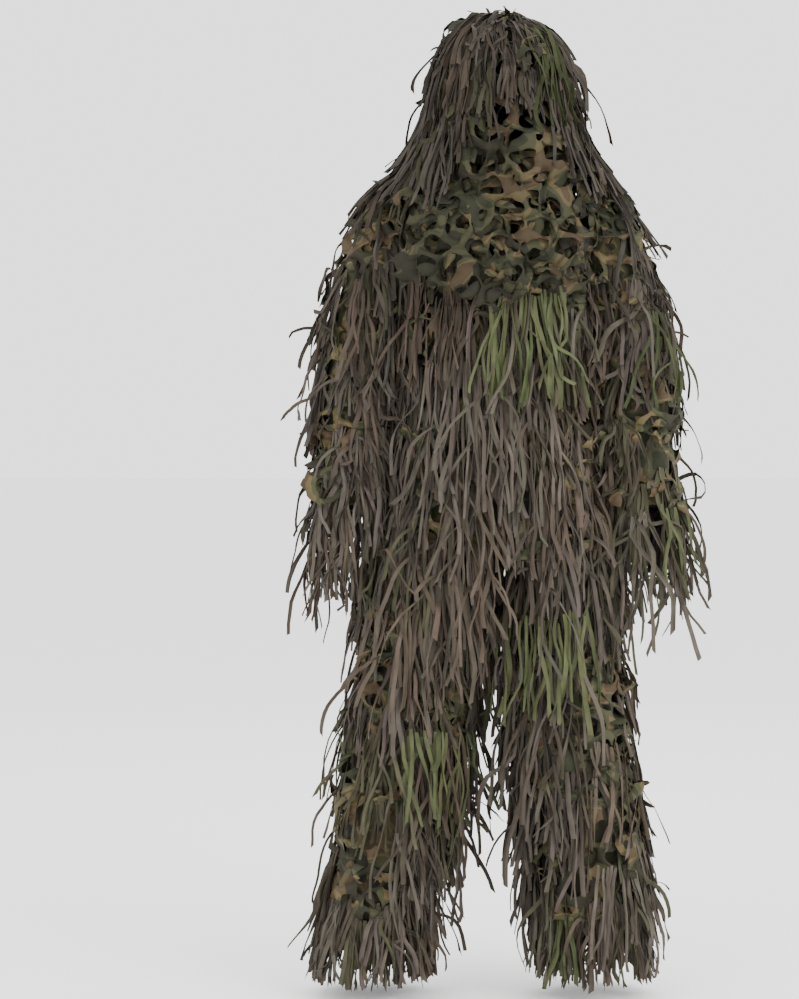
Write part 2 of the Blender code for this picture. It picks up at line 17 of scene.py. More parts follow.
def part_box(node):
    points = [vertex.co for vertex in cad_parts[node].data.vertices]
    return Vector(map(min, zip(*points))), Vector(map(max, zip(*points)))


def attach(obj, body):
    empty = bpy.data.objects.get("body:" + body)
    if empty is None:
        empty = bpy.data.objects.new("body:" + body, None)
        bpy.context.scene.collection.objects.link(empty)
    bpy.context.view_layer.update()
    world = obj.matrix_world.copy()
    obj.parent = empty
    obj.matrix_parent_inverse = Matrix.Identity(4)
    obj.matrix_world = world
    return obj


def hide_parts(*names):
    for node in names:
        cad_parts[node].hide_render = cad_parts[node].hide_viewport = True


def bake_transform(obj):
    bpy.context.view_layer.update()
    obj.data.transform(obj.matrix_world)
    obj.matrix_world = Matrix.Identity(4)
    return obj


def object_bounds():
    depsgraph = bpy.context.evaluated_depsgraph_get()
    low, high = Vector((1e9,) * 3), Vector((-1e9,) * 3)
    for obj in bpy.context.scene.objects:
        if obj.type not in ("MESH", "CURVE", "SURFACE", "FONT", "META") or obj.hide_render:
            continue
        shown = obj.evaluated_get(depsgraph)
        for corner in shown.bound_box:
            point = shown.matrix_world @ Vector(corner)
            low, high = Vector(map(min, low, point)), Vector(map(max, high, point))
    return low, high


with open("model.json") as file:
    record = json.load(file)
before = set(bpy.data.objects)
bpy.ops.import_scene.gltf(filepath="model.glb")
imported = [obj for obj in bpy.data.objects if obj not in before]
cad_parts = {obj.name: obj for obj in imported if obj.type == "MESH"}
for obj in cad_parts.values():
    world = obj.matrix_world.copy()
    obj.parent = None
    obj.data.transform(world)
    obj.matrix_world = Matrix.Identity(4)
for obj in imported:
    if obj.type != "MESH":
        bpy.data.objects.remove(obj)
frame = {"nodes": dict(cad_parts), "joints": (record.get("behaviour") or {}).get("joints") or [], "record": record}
CAD_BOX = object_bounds()
JOINTS = {joint["name"]: joint for joint in frame["joints"]}
SIDES = (("left", 1), ("right", -1))
DOWN = np.array((0.0, 0.0, -1.0))
LOW, HIGH = np.array(CAD_BOX[0]), np.array(CAD_BOX[1])
PROUD = 0.03 * (HIGH - LOW) - 0.001  # how far a strip's middle may stand out of the CAD box
NET_PROUD = PROUD + 0.008  # and a net
HEM = -1.478  # no strip hangs lower
FLOOR = -1.500  # the soles of the wearer's boots, below the origin at the shoulder line

STRIP_WIDTH, STRIP_THICKNESS = 0.0068, 0.0007
STRIP_POINTS = 14
NET_PITCH, NET_THICKNESS = 0.050, 0.0007  # the pitch is from hole to hole
SMALL_HOLES, FLAPS = 0.06, 0.45  # the shares of the holes that are small, and that keep their leaf
CLOTH_THICKNESS = 0.0012


def joint_place(name):
    return np.array(JOINTS[name]["pos_m"])


# ---- smooth numbers


def ripple(points, size, seed):
    """Smooth noise of about unit size that changes over the given distance in metres."""
    rng = np.random.default_rng(seed)
    waves = rng.normal(size=(14, np.shape(points)[-1]))
    waves /= np.linalg.norm(waves, axis=1)[:, None]
    waves *= (2 * math.pi / size) * rng.uniform(0.5, 1.3, 14)[:, None]
    phases = rng.uniform(0, 2 * math.pi, 14)
    return np.sin(np.asarray(points) @ waves.T + phases).sum(-1) / math.sqrt(7)


def grid_faces(rows, count, closed=True):
    """Four-sided faces between the rows of a grid with count points a row."""
    k = np.arange(count if closed else count - 1)
    after = (k + 1) % count
    upper = np.arange(rows - 1)[:, None] * count
    lower = upper + count
    return np.stack((upper + k, lower + k, lower + after, upper + after), -1).reshape(-1, 4)


def evenly(count):
    """That many numbers spread evenly between -0.5 and 0.5."""
    return (np.arange(count) - (count - 1) / 2) / count


def unit(vectors):
    return vectors / np.maximum(np.linalg.norm(vectors, axis=-1, keepdims=True), 1e-9)


def smooth_rows(rows, step):
    """A smooth curve through the rows, with a row about every step metres."""
    rows = np.array(rows, float)
    spans = np.linalg.norm(np.diff(rows, axis=0), axis=1)
    at = np.concatenate(([0], np.cumsum(spans)))
    slopes = np.gradient(rows, at, axis=0)
    fine = np.linspace(0, at[-1], max(2, int(at[-1] / step)) + 1)
    k = np.clip(np.searchsorted(at, fine, side="right") - 1, 0, len(spans) - 1)
    span = spans[k][:, None]
    t = ((fine - at[k]) / spans[k])[:, None]
    a, b = rows[k], rows[k + 1]
    return (
        a * (1 + 2 * t) * (1 - t) ** 2
        + slopes[k] * span * t * (1 - t) ** 2
        + b * t**2 * (3 - 2 * t)
        + slopes[k + 1] * span * t**2 * (t - 1)
    )


# ---- the garment's skins


class Skin:
    """A smooth tube or dome through level rings: (height, middle x, middle y, half width, half
    depth, lift of its two sides). A place on it is a turn from 0 to 1, and a drop in metres."""

    AROUND = 64

    def __init__(self, rings):
        rows = smooth_rows([(*ring, 0.0)[:6] for ring in rings], 0.012)
        z, x, y, half_width, half_depth, lift = (column[:, None] for column in rows.T)
        angle = np.arange(self.AROUND) * 2 * math.pi / self.AROUND
        c, s = np.cos(angle), np.sin(angle)
        self.points = np.stack((x + half_width * c, y + half_depth * s, z + lift * c * c), -1)
        round_it = np.roll(self.points, -1, 1) - np.roll(self.points, 1, 1)
        down_it = np.gradient(self.points, axis=0)
        self.normals = unit(np.cross(down_it, round_it))
        steps = np.linalg.norm(np.diff(self.points, axis=0), axis=2).mean(1)
        self.drops = np.concatenate(([0], np.cumsum(steps)))
        self.length = self.drops[-1]
        self.girths = np.linalg.norm(np.roll(self.points, -1, 1) - self.points, axis=2).sum(1)

    def girth(self, drop):
        return np.interp(drop, self.drops, self.girths)

    def sample(self, turn, drop):
        """(points, outward normals) at those turns and drops."""
        row = np.interp(drop, self.drops, np.arange(len(self.drops)))
        low = np.minimum(row.astype(int), len(self.drops) - 2)
        share = (row - low)[..., None]
        column = (np.asarray(turn) % 1.0) * self.AROUND
        left = column.astype(int) % self.AROUND
        across = (column - np.floor(column))[..., None]
        right = (left + 1) % self.AROUND

        def read(grid):
            upper = grid[low, left] * (1 - across) + grid[low, right] * across
            lower = grid[low + 1, left] * (1 - across) + grid[low + 1, right] * across
            return upper * (1 - share) + lower * share

        return read(self.points), unit(read(self.normals))

    def polygons(self):
        faces = grid_faces(len(self.drops), self.AROUND)
        return self.points.reshape(-1, 3), np.roll(faces, -1, 1)


def tree_of(*skins):
    points, faces, start = [], [], 0
    for skin in skins:
        more, polygons = skin.polygons()
        points.append(more)
        faces.append(polygons + start)
        start += len(more)
    return BVHTree.FromPolygons(np.concatenate(points).tolist(), np.concatenate(faces).tolist())


def middle_of(node):
    low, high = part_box(node)
    return np.array((low + high) / 2)


def level_ring(a, b, share, half_width, half_depth):
    """A level ring with its middle on the line from a to b."""
    x, y, z = a + (b - a) * share
    return z, x, y, half_width, half_depth


def arm_rings(sign, side):
    shoulder, elbow = joint_place(f"{side}_shoulder_raise"), joint_place(f"{side}_elbow_bend")
    cuff = middle_of(f"cuff_elastic_{side}")
    return [
        (shoulder[2] + 0.010, shoulder[0] - sign * 0.022, 0.0, 0.012, 0.026),
        (shoulder[2] - 0.004, shoulder[0] - sign * 0.014, 0.0, 0.036, 0.046),
        (shoulder[2] - 0.030, shoulder[0] - sign * 0.005, 0.0, 0.052, 0.057),
        (shoulder[2] - 0.075, *(shoulder + (elbow - shoulder) * 0.20)[:2], 0.054, 0.060),
        level_ring(shoulder, elbow, 0.55, 0.060, 0.062),
        level_ring(elbow, cuff, 0.00, 0.060, 0.063),
        level_ring(elbow, cuff, 0.50, 0.058, 0.060),
        level_ring(elbow, cuff, 0.90, 0.053, 0.054),
        level_ring(elbow, cuff, 1.05, 0.051, 0.052),
    ]


def leg_rings(sign, side):
    hip, knee = joint_place(f"{side}_hip_swing"), joint_place(f"{side}_knee_bend")
    ankle = middle_of(f"ankle_elastic_{side}")
    return [
        (hip[2] - 0.055, hip[0] + sign * 0.002, 0.0, 0.090, 0.118),
        level_ring(hip, knee, 0.27, 0.087, 0.107),
        level_ring(hip, knee, 0.60, 0.086, 0.099),
        level_ring(knee, ankle, 0.00, 0.086, 0.096),
        level_ring(knee, ankle, 0.60, 0.083, 0.093),
        level_ring(knee, ankle, 0.93, 0.077, 0.087),
    ]


RINGS = {
    "torso": [
        (0.022, 0, 0, 0.083, 0.083),
        (-0.004, 0, 0, 0.116, 0.093),
        (-0.032, 0, 0, 0.144, 0.104),
        (-0.075, 0, 0, 0.157, 0.117),
        (-0.150, 0, 0, 0.157, 0.124),
        (-0.300, 0, 0, 0.160, 0.126),
        (-0.445, 0, 0, 0.168, 0.131),
        (-0.560, 0, 0, 0.176, 0.142),
        (-0.660, 0, 0, 0.180, 0.147),
    ],
    "hood": [
        (0.3230, 0, -0.005, 0.006, 0.006),
        (0.3190, 0, -0.005, 0.038, 0.045),
        (0.3030, 0, -0.005, 0.072, 0.086),
        (0.2730, 0, -0.005, 0.094, 0.112),
        (0.2300, 0, -0.005, 0.104, 0.126),
        (0.1600, 0, -0.005, 0.108, 0.129),
        (0.1000, 0, -0.005, 0.112, 0.128),
        (0.0600, 0, -0.003, 0.122, 0.132),
    ],
    "drape": [  # the strips of the hood, from the crown to the shoulders
        (0.3270, 0.008, -0.005, 0.006, 0.006),
        (0.3230, 0.008, -0.005, 0.038, 0.045),
        (0.3050, 0.008, -0.005, 0.073, 0.088),
        (0.2730, 0.008, -0.005, 0.100, 0.118),
        (0.2300, 0.008, -0.005, 0.115, 0.134),
        (0.1600, 0.008, -0.004, 0.127, 0.141),
        (0.1000, 0.008, -0.003, 0.146, 0.148),
        (0.0500, 0.008, -0.002, 0.172, 0.156),
        (0.0000, 0.008, 0, 0.204, 0.168),
    ],
    "cape": [
        (0.060, 0, 0, 0.104, 0.112, 0.000),
        (0.036, 0, 0, 0.128, 0.126, 0.006),
        (0.006, 0, 0, 0.172, 0.147, 0.022),
        (-0.070, 0, 0, 0.218, 0.178, 0.062),
        (-0.215, 0, 0, 0.262, 0.186, 0.144),
    ],
    "veil": [
        (0.262, 0, -0.004, 0.112, 0.146),
        (0.235, 0, -0.004, 0.120, 0.157),
        (0.180, 0, -0.004, 0.126, 0.167),
        (0.100, 0, -0.004, 0.146, 0.178),
        (0.000, 0, -0.004, 0.198, 0.193),
        (-0.100, 0, -0.004, 0.258, 0.206),
        (-0.215, 0, -0.004, 0.300, 0.214),
    ],
    "face": [  # over the hood and the veil together
        (0.3230, 0.006, -0.005, 0.006, 0.006),
        (0.3190, 0.006, -0.005, 0.040, 0.045),
        (0.3030, 0.006, -0.005, 0.075, 0.092),
        (0.2730, 0.006, -0.005, 0.106, 0.138),
        (0.2350, 0.006, -0.004, 0.124, 0.163),
        (0.1800, 0.006, -0.004, 0.131, 0.174),
        (0.1000, 0.006, -0.004, 0.151, 0.185),
        (0.0000, 0.006, -0.004, 0.203, 0.200),
        (-0.100, 0.006, -0.004, 0.263, 0.213),
        (-0.215, 0.006, -0.004, 0.306, 0.221),
    ],
}
SKIN = {name: Skin(rings) for name, rings in RINGS.items()}
for side, sign in SIDES:
    SKIN[f"{side}_arm"] = Skin(arm_rings(sign, side))
    SKIN[f"{side}_leg"] = Skin(leg_rings(sign, side))


# ---- meshes from arrays


def new_object(name, data):
    made = bpy.data.objects.new(name, data)
    bpy.context.scene.collection.objects.link(made)
    return made


def mesh_object(name, points, faces, material, attributes=(), sharp=50):
    """An object from arrays of points and of equal-sided faces. attributes are (name, array)
    pairs, one row of 3 or 4 numbers a point; 4 numbers are a colour. Edges that turn by more than
    sharp degrees aren't smoothed."""
    mesh = bpy.data.meshes.new(name)
    sides = faces.shape[1]
    mesh.vertices.add(len(points))
    mesh.vertices.foreach_set("co", points.astype(np.float32).ravel())
    mesh.loops.add(faces.size)
    mesh.loops.foreach_set("vertex_index", faces.astype(np.int32).ravel())
    mesh.polygons.add(len(faces))
    mesh.polygons.foreach_set("loop_start", np.arange(0, faces.size, sides, dtype=np.int32))
    mesh.update(calc_edges=True)
    mesh.validate()
    for label, values in attributes:
        colour = values.shape[1] == 4
        kind = "FLOAT_COLOR" if colour else "FLOAT_VECTOR"
        made = mesh.attributes.new(label, kind, "POINT")
        made.data.foreach_set("color" if colour else "vector", values.astype(np.float32).ravel())
    mesh.shade_smooth()
    mesh.set_sharp_from_angle(angle=math.radians(sharp))
    mesh.materials.append(material)
    return new_object(name, mesh)


# ---- materials


def srgb(red, green, blue):
    """A colour from 0-255 display values, as linear light."""
    values = np.array((red, green, blue)) / 255
    low, high = values / 12.92, ((values + 0.055) / 1.055) ** 2.4
    return np.where(values <= 0.04045, low, high)


class Nodes:
    """A short way to write a material's nodes."""

    def __init__(self, name, roughness, specular=0.2):
        self.material = bpy.data.materials.new(name)
        self.material.use_nodes = True
        self.tree = self.material.node_tree
        self.shader = self.tree.nodes["Principled BSDF"]
        self.shader.inputs["Roughness"].default_value = roughness
        self.shader.inputs["Specular IOR Level"].default_value = specular

    def add(self, kind, inputs=None, **settings):
        node = self.tree.nodes.new(kind)
        for key, value in settings.items():
            setattr(node, key, value)
        for key, value in (inputs or {}).items():
            if isinstance(value, bpy.types.NodeSocket):
                self.tree.links.new(value, node.inputs[key])
            else:
                node.inputs[key].default_value = value
        return node

    def noise(self, vector, scale, detail=2.0, distortion=0.0):
        inputs = {"Vector": vector, "Scale": scale, "Detail": detail, "Distortion": distortion}
        return self.add("ShaderNodeTexNoise", inputs).outputs["Fac"]

    def ramp(self, factor, stops, interpolation="LINEAR"):
        node = self.add("ShaderNodeValToRGB", {"Fac": factor})
        node.color_ramp.interpolation = interpolation
        elements = node.color_ramp.elements
        while len(elements) < len(stops):
            elements.new(0.5)
        for element, (place, colour) in zip(elements, stops):
            element.position = place
            element.color = (*colour, 1.0)
        return node.outputs["Color"]

    def wave(self, vector, scale, direction, distortion=0.0):
        inputs = {"Vector": vector, "Scale": scale, "Distortion": distortion}
        node = self.add("ShaderNodeTexWave", inputs, wave_type="BANDS", bands_direction=direction)
        return node.outputs["Fac"]

    def mix(self, a, b, factor=1.0, blend="MIX"):
        inputs = {"Factor": factor, 6: a, 7: b}  # 6 and 7 are the two colours
        return self.add("ShaderNodeMix", inputs, data_type="RGBA", blend_type=blend).outputs[2]

    def multiply(self, a, b):
        return self.mix(a, b, blend="MULTIPLY")

    def finish(self, colour, height, strength, distance):
        """Gives the material its colour and bumps, and returns it."""
        inputs = {"Height": height, "Strength": strength, "Distance": distance}
        bumps = self.add("ShaderNodeBump", inputs).outputs["Normal"]
        self.tree.links.new(colour, self.shader.inputs["Base Color"])
        self.tree.links.new(bumps, self.shader.inputs["Normal"])
        return self.material


def grey(value):
    return (value, value, value)


def strip_material():
    """Cut cloth strips: each has its own dye, with painted shade and a painted light at the root in
    its colour, and a weave with threads along and across, painted darker in its hollows.
    """
    made = Nodes("cloth_strips", 0.88, 0.15)
    dye_and_painted_light = made.add("ShaderNodeAttribute", attribute_name="dye_and_painted_light").outputs["Color"]
    weave = made.add("ShaderNodeAttribute", attribute_name="weave").outputs["Vector"]
    blotch = made.ramp(made.noise(weave, 28.0, 3.0), [(0.30, grey(0.72)), (0.70, grey(1.18))])
    threads = made.multiply(made.wave(weave, 190.0, "X", 2.5), made.wave(weave, 150.0, "Y", 2.0))
    # The threads painted darker where the bump is low: painted shade in the weave's hollows.
    tone_and_painted_shade = made.ramp(threads, [(0.0, grey(0.86)), (1.0, grey(1.08))])
    return made.finish(made.multiply(made.multiply(dye_and_painted_light, blotch), tone_and_painted_shade), threads, 0.35, 0.0006)


def camouflage(made, place, tone_and_painted_shade):
    """Printed camouflage: brown, olive, tan and dark green shapes, a little worn. The third
    argument darkens it all: a darker tone on the liner, and painted shade on the nets of the
    hood, the cape and the veil.
    """
    base = made.ramp(made.noise(place, 13.0, 1.5, 1.1), [
        (0.0, srgb(46, 47, 34)), (0.43, srgb(62, 62, 43)), (0.53, srgb(86, 76, 52)),
        (0.58, srgb(70, 58, 42)),
    ], "CONSTANT")
    aside = made.add("ShaderNodeVectorMath", {0: place, 1: (3.1, 7.7, 1.3)}, operation="ADD")
    second = made.noise(aside.outputs["Vector"], 15.0, 1.5, 1.1)
    dark = made.ramp(second, [(0.0, grey(0.0)), (0.56, grey(1.0))], "CONSTANT")
    printed = made.mix(base, (*srgb(43, 41, 31), 1.0), dark)
    # On the nets of the hood, the cape and the veil the darkening of these stops is painted shade.
    stops = [(0.3, grey(0.80 * tone_and_painted_shade)), (0.7, grey(1.12 * tone_and_painted_shade))]
    worn = made.ramp(made.noise(place, 40.0, 4.0), stops)
    return made.multiply(printed, worn)


def net_material(name, tone_and_painted_shade):
    """Printed ripstop, for the leaf nets."""
    made = Nodes(name, 0.78, 0.15)
    flat = made.add("ShaderNodeAttribute", attribute_name="flat").outputs["Vector"]
    ripstop = made.multiply(made.wave(flat, 60.0, "DIAGONAL"), made.noise(flat, 900.0, 1.0))
    return made.finish(camouflage(made, flat, tone_and_painted_shade), ripstop, 0.25, 0.0006)


def cloth_material(name, colour, thread, roughness=0.9, strength=0.4):
    """Woven cloth, in the object's own coordinates. No colour means printed camouflage."""
    made = Nodes(name, roughness)
    place = made.add("ShaderNodeTexCoord").outputs["Object"]
    weave = made.multiply(made.wave(place, thread, "X", 1.0), made.wave(place, thread, "Z", 1.0))
    if colour is None:
        dyed = camouflage(made, place, 0.85)
    else:
        worn = made.ramp(made.noise(place, 22.0, 4.0), [(0.3, grey(0.70)), (0.7, grey(1.20))])
        dyed = made.multiply((*colour, 1.0), worn)
    # The weave painted darker where the bump is low: painted shade in the weave's hollows.
    threads = made.ramp(weave, [(0, grey(0.8)), (1, grey(1.1))])
    return made.finish(made.multiply(dyed, threads), weave, strength, 0.0008)


def plastic_material():
    made = Nodes("moulded_plastic", 0.42, 0.5)
    place = made.add("ShaderNodeTexCoord").outputs["Object"]
    worn = made.ramp(made.noise(place, 180.0, 4.0), [(0.3, grey(0.85)), (0.7, grey(1.1))])
    colour = made.multiply((*srgb(52, 53, 40), 1.0), worn)
    return made.finish(colour, made.noise(place, 1400.0, 1.0), 0.12, 0.0003)


STRIPS = strip_material()
NET = net_material("leaf_net", 1.0)
# The hood's, cape's and veil's nets: the same print darkened to 0.66, painted shade.
HOOD_NET_PAINTED_SHADE = net_material("hood_leaf_net_painted_shade", 0.66)
CLOTH = cloth_material("liner_cloth", None, 260.0)
LINING = cloth_material("lining_mesh", srgb(32, 33, 27), 420.0)
WEBBING = cloth_material("webbing", srgb(52, 54, 41), 330.0, 0.8, 0.8)
ELASTIC = cloth_material("elastic", srgb(30, 30, 28), 200.0, 0.85, 0.9)
TAPE = cloth_material("hook_loop_tape", srgb(36, 37, 31), 520.0, 0.95, 0.9)
PLASTIC = plastic_material()


# ---- strips


DYES = {  # the dye lots of the strips
    "grey": srgb(74, 68, 61),
    "brown": srgb(73, 64, 55),
    "dark": srgb(60, 54, 46),
    "olive": srgb(63, 61, 47),
    "green": srgb(68, 72, 48),
    "moss": srgb(60, 64, 40),
}
COMMON = ("grey", "brown", "dark", "olive")
ODDS = (0.50, 0.22, 0.16, 0.12)  # of the common dyes


class Bundle:
    """Strips to be laid. Each part has one row of each array for each strip."""

    def __init__(self):
        self.parts, self.dyes = [], []

    def add(self, roots, normals, ways, lengths, starts, tips, dye):
        """starts and tips: how far a strip's two ends stand off the skin."""
        self.parts.append((roots, normals, ways, lengths, starts, tips))
        self.dyes += [dye] * len(roots)

    def arrays(self):
        return [np.concatenate(part) for part in zip(*self.parts)]


BARE = [  # x, z, half width, half height: few strips start there, so the net below them shows
    (0.175, -0.830, 0.055, 0.180),
    (-0.110, -0.520, 0.075, 0.110),
    (-0.275, -0.300, 0.030, 0.110),
    (0.150, -0.290, 0.050, 0.110),
    (-0.245, -1.090, 0.035, 0.140),
    (0.185, -1.150, 0.040, 0.120),
    (-0.120, -0.220, 0.060, 0.080),
    (-0.205, -0.750, 0.035, 0.100),
    (-0.120, -1.240, 0.030, 0.110),
    (0.300, -0.380, 0.030, 0.080),
    (-0.330, -0.440, 0.030, 0.080),
]
BARE_SHARE = 0.15  # of the bunches are left there


def is_bare(point):
    """Whether a point on the front lies in one of the BARE patches."""
    return point[1] < 0.02 and any(
        abs(point[0] - x) < wide and abs(point[2] - z) < high for x, z, wide, high in BARE
    )


def sow(bundle, skin, name, drops, lengths, tips, keep=0.78, turns=(0.0, 1.0), pitch=0.0045,
        counts=(13, 27), start=0.007, odds=ODDS, seed=0, spread=(0.10, 0.50), tangle=0.13):
    """Bunches of strips in rows round a skin. drops are the rows; lengths, tips (how far the lower
    ends stand off) and counts (strips in a bunch) are ranges. keep is the share of bunches that
    are sewn on. A bunch is gathered at its top and fans out below, by spread; tangle turns its
    strips at random."""
    rng = np.random.default_rng([len(name), sum(map(ord, name)), seed])
    for drop in drops:
        girth = skin.girth(drop)
        turn = turns[0] + rng.uniform(0, 0.05)
        while turn < turns[1]:
            count = int(rng.integers(*counts))
            span = count * pitch / girth
            middle = turn + span / 2
            turn += span * rng.uniform(0.88, 1.10)
            level = drop + rng.normal(0, 0.020)
            centre, _ = skin.sample(np.array([middle]), np.array([level]))
            if rng.random() > keep * (BARE_SHARE if is_bare(centre[0]) else 1):
                continue
            order = evenly(count)
            places = middle + order * span * rng.uniform(0.50, 0.75)
            levels = level + rng.normal(0, 0.004, count)
            roots, normals = skin.sample(places, levels)
            below, _ = skin.sample(places, levels + 0.01)
            sideways = unit(np.cross(normals, DOWN))
            lean = rng.normal(0, 0.15) + rng.normal(0, tangle, count) + order * rng.uniform(*spread)
            ways = unit(unit(below - roots) - sideways * lean[:, None]
                        + normals * rng.uniform(0.02, 0.32, (count, 1)))
            length = rng.uniform(*lengths) * rng.normal(1, 0.16, count).clip(0.55, 1.3)
            starts = start + rng.uniform(0, 0.004, count)
            ends = rng.uniform(*tips) + rng.normal(0, 0.005, count)
            dye = COMMON[rng.choice(len(COMMON), p=odds)]
            bundle.add(roots + normals * starts[:, None], normals, ways, length, starts,
                       ends.clip(0.008), dye)


def bunch(bundle, skin_tree, x, z, width, count, length, dye, seed, tip=(0.030, 0.046),
          start=0.022, fan=0.14):
    """One bunch of strips sewn on at a place seen from the front."""
    rng = np.random.default_rng([seed, count])
    xs = x + (np.arange(count) - (count - 1) / 2) * width / count
    roots, normals = [], []
    for value in xs:
        origin = Vector((value, -1, z + rng.normal(0, 0.006)))
        hit, normal, _, _ = skin_tree.ray_cast(origin, Vector((0, 1, 0)))
        if hit is None:
            continue
        roots.append(hit)
        normals.append(normal if normal.y < 0 else -normal)
    if not roots:
        return
    roots, normals = np.array(roots), np.array(normals)
    count = len(roots)
    lean = evenly(count) * fan + rng.normal(0, 0.06, count)
    ways = unit(DOWN + np.array((1.0, 0, 0)) * lean[:, None] + normals * 0.35)
    starts = start + rng.uniform(0, 0.006, count)
    lengths = length * rng.normal(1, 0.08, count).clip(0.75, 1.25)
    bundle.add(roots + normals * starts[:, None], normals, ways, lengths, starts,
               rng.uniform(*tip, count), dye)


KINK_SHARE, KINK, NO_KINK = 0.06, 3.2, 0.75  # how often a strip turns sharply, and how much
STRAY_GRAVITY, STRAY_TIP, STRAY_LENGTH = 0.10, 1.3, 0.5  # of the few strips that stick out


def lay(bundle, tree, rng, stiff=0.56, wander=0.100, stray=0.004):
    """Walks each strip down from its root. Returns its middle line and the outward directions.
    stiff is how far it keeps its own way, wander how much it turns at random, and stray the share
    of strips that stick out."""
    roots, normals, ways, lengths, starts, tips = bundle.arrays()
    count = len(roots)
    lengths = np.minimum(lengths, (roots[:, 2] - HEM) * rng.uniform(0.90, 1.0, count))
    paths = np.empty((count, STRIP_POINTS, 3))
    outs = np.empty_like(paths)
    paths[:, 0], outs[:, 0] = roots, normals
    loose = rng.random(count) < stray
    gravity = np.where(loose, STRAY_GRAVITY, 1 - stiff)[:, None]
    tips = np.where(loose, tips * STRAY_TIP, tips)
    lengths = np.where(loose, lengths * STRAY_LENGTH, lengths)
    steps = (lengths / (STRIP_POINTS - 1))[:, None]
    ways = np.where(loose[:, None], unit(ways + normals * rng.uniform(0.3, 1.0, (count, 1))), ways)
    drift = rng.normal(0, wander, (count, 3))
    for k in range(1, STRIP_POINTS):
        kink = np.where(rng.random((count, 1)) < KINK_SHARE, KINK, NO_KINK)
        drift = drift * 0.64 + rng.normal(0, wander, (count, 3)) * kink
        ways = unit(ways * (1 - gravity) + DOWN * gravity + drift)
        points = paths[:, k - 1] + ways * steps
        offsets = starts + (tips - starts) * (k / (STRIP_POINTS - 1)) ** 0.8
        nearest = [tree.find_nearest(point) for point in points.tolist()]
        spots = np.array([found[0] for found in nearest])
        outward = np.array([found[1] for found in nearest])
        apart = ((points - spots) * outward).sum(1)
        near = np.maximum(offsets - apart, 0)[:, None]
        points = np.clip(points + outward * near, LOW - PROUD, HIGH + PROUD)
        ways = unit(points - paths[:, k - 1])
        paths[:, k] = np.clip(paths[:, k - 1] + ways * steps, LOW - PROUD, HIGH + PROUD)
        outs[:, k] = unit(outs[:, k - 1] * 0.55 + outward * 0.45)
    return paths, outs


RIBBON_RING = (  # a ribbon's section: place across, share of the bow, and upper or lower side
    (-1, 0, 1), (0, 1, 1), (1, 0, 1), (1, 0, -1), (0, 1, -1), (-1, 0, -1),
)


def ribbons(name, bundle, tree, seed, tone_and_painted_shade=1.0, **walk):
    """One mesh of closed ribbons along the strips' lines, a little bowed across and twisted. The
    dyes are darkened by the given factor: painted shade on the hood, the cape and the arms.
    """
    rng = np.random.default_rng([seed, len(name)])
    paths, outs = lay(bundle, tree, rng, **walk)
    count = len(paths)
    along = unit(np.gradient(paths, axis=1))
    side = unit(np.cross(along, outs))
    up = np.cross(side, along)
    s = np.linspace(0, 1, STRIP_POINTS)
    turn = rng.normal(0, 0.45, (count, 1)) + rng.normal(0, 1.0, (count, 1)) * s
    turn += rng.normal(0, 0.35, (count, 1)) * np.sin(s * rng.uniform(4, 13, (count, 1)))
    c, n = np.cos(turn)[..., None], np.sin(turn)[..., None]
    side, up = side * c + up * n, up * c - side * n
    width = STRIP_WIDTH * rng.normal(1, 0.20, (count, 1)).clip(0.55, 1.45)
    waves = s * rng.uniform(6, 16, (count, 1)) + rng.uniform(0, 6, (count, 1))
    width = width * (1 + 0.08 * np.sin(waves))
    width[:, 0] *= 0.72  # gathered where it is sewn on
    bow = width * rng.uniform(0.05, 0.30, (count, 1)) * rng.choice((-1.0, 1.0), (count, 1))
    slant = np.zeros((count, STRIP_POINTS))  # the lower end is cut askew
    slant[:, -1] = rng.normal(0, 0.0035, count).clip(-0.006, 0.006)
    half = STRIP_THICKNESS / 2
    corners = []
    for across, rise, level in RIBBON_RING:
        corners.append(
            paths
            + side * (width / 2 * across)[..., None]
            + up * (bow * rise + half * level)[..., None]
            + along * (slant * across)[..., None]
        )
    points = np.stack(corners, 2)
    top, bottom = np.array([(0, 1, 4, 5), (1, 2, 3, 4)]), np.array([(5, 4, 1, 0), (4, 3, 2, 1)])
    cells = np.concatenate((grid_faces(STRIP_POINTS, 6), top, bottom + (STRIP_POINTS - 1) * 6))
    faces = (cells[None] + (np.arange(count) * 6 * STRIP_POINTS)[:, None, None]).reshape(-1, 4)
    dyes = np.array([DYES[dye] for dye in bundle.dyes])
    dyes = dyes * rng.normal(1, 0.11, (count, 1)).clip(0.6, 1.4) * rng.normal(1, 0.025, (count, 3))
    dye_and_painted_light = np.ones((count, STRIP_POINTS, 6, 4))
    # The dyes times the darkening, made lighter at the root than at the tip: painted light that lifts the shade
    # among the roots.
    dye_and_painted_light[..., :3] = tone_and_painted_shade * dyes[:, None, None, :] * (1.15 - 0.12 * s)[None, :, None, None]
    run = np.cumsum(np.linalg.norm(np.diff(paths, axis=1, prepend=paths[:, :1]), axis=2), axis=1)
    weave = np.zeros((count, STRIP_POINTS, 6, 3))
    weave[..., 0] = width[..., None] / 2 * np.array([across for across, _, _ in RIBBON_RING])
    weave[..., 1] = run[..., None]
    weave[..., :2] += rng.uniform(0, 40, (count, 1, 1, 2))
    weave[..., 2] = rng.uniform(0, 40, (count, 1, 1))
    attributes = (("dye_and_painted_light", dye_and_painted_light.reshape(-1, 4)), ("weave", weave.reshape(-1, 3)))
    made = mesh_object(name, points.reshape(-1, 3), faces, STRIPS, attributes)
    return made


# ---- leaf-cut net


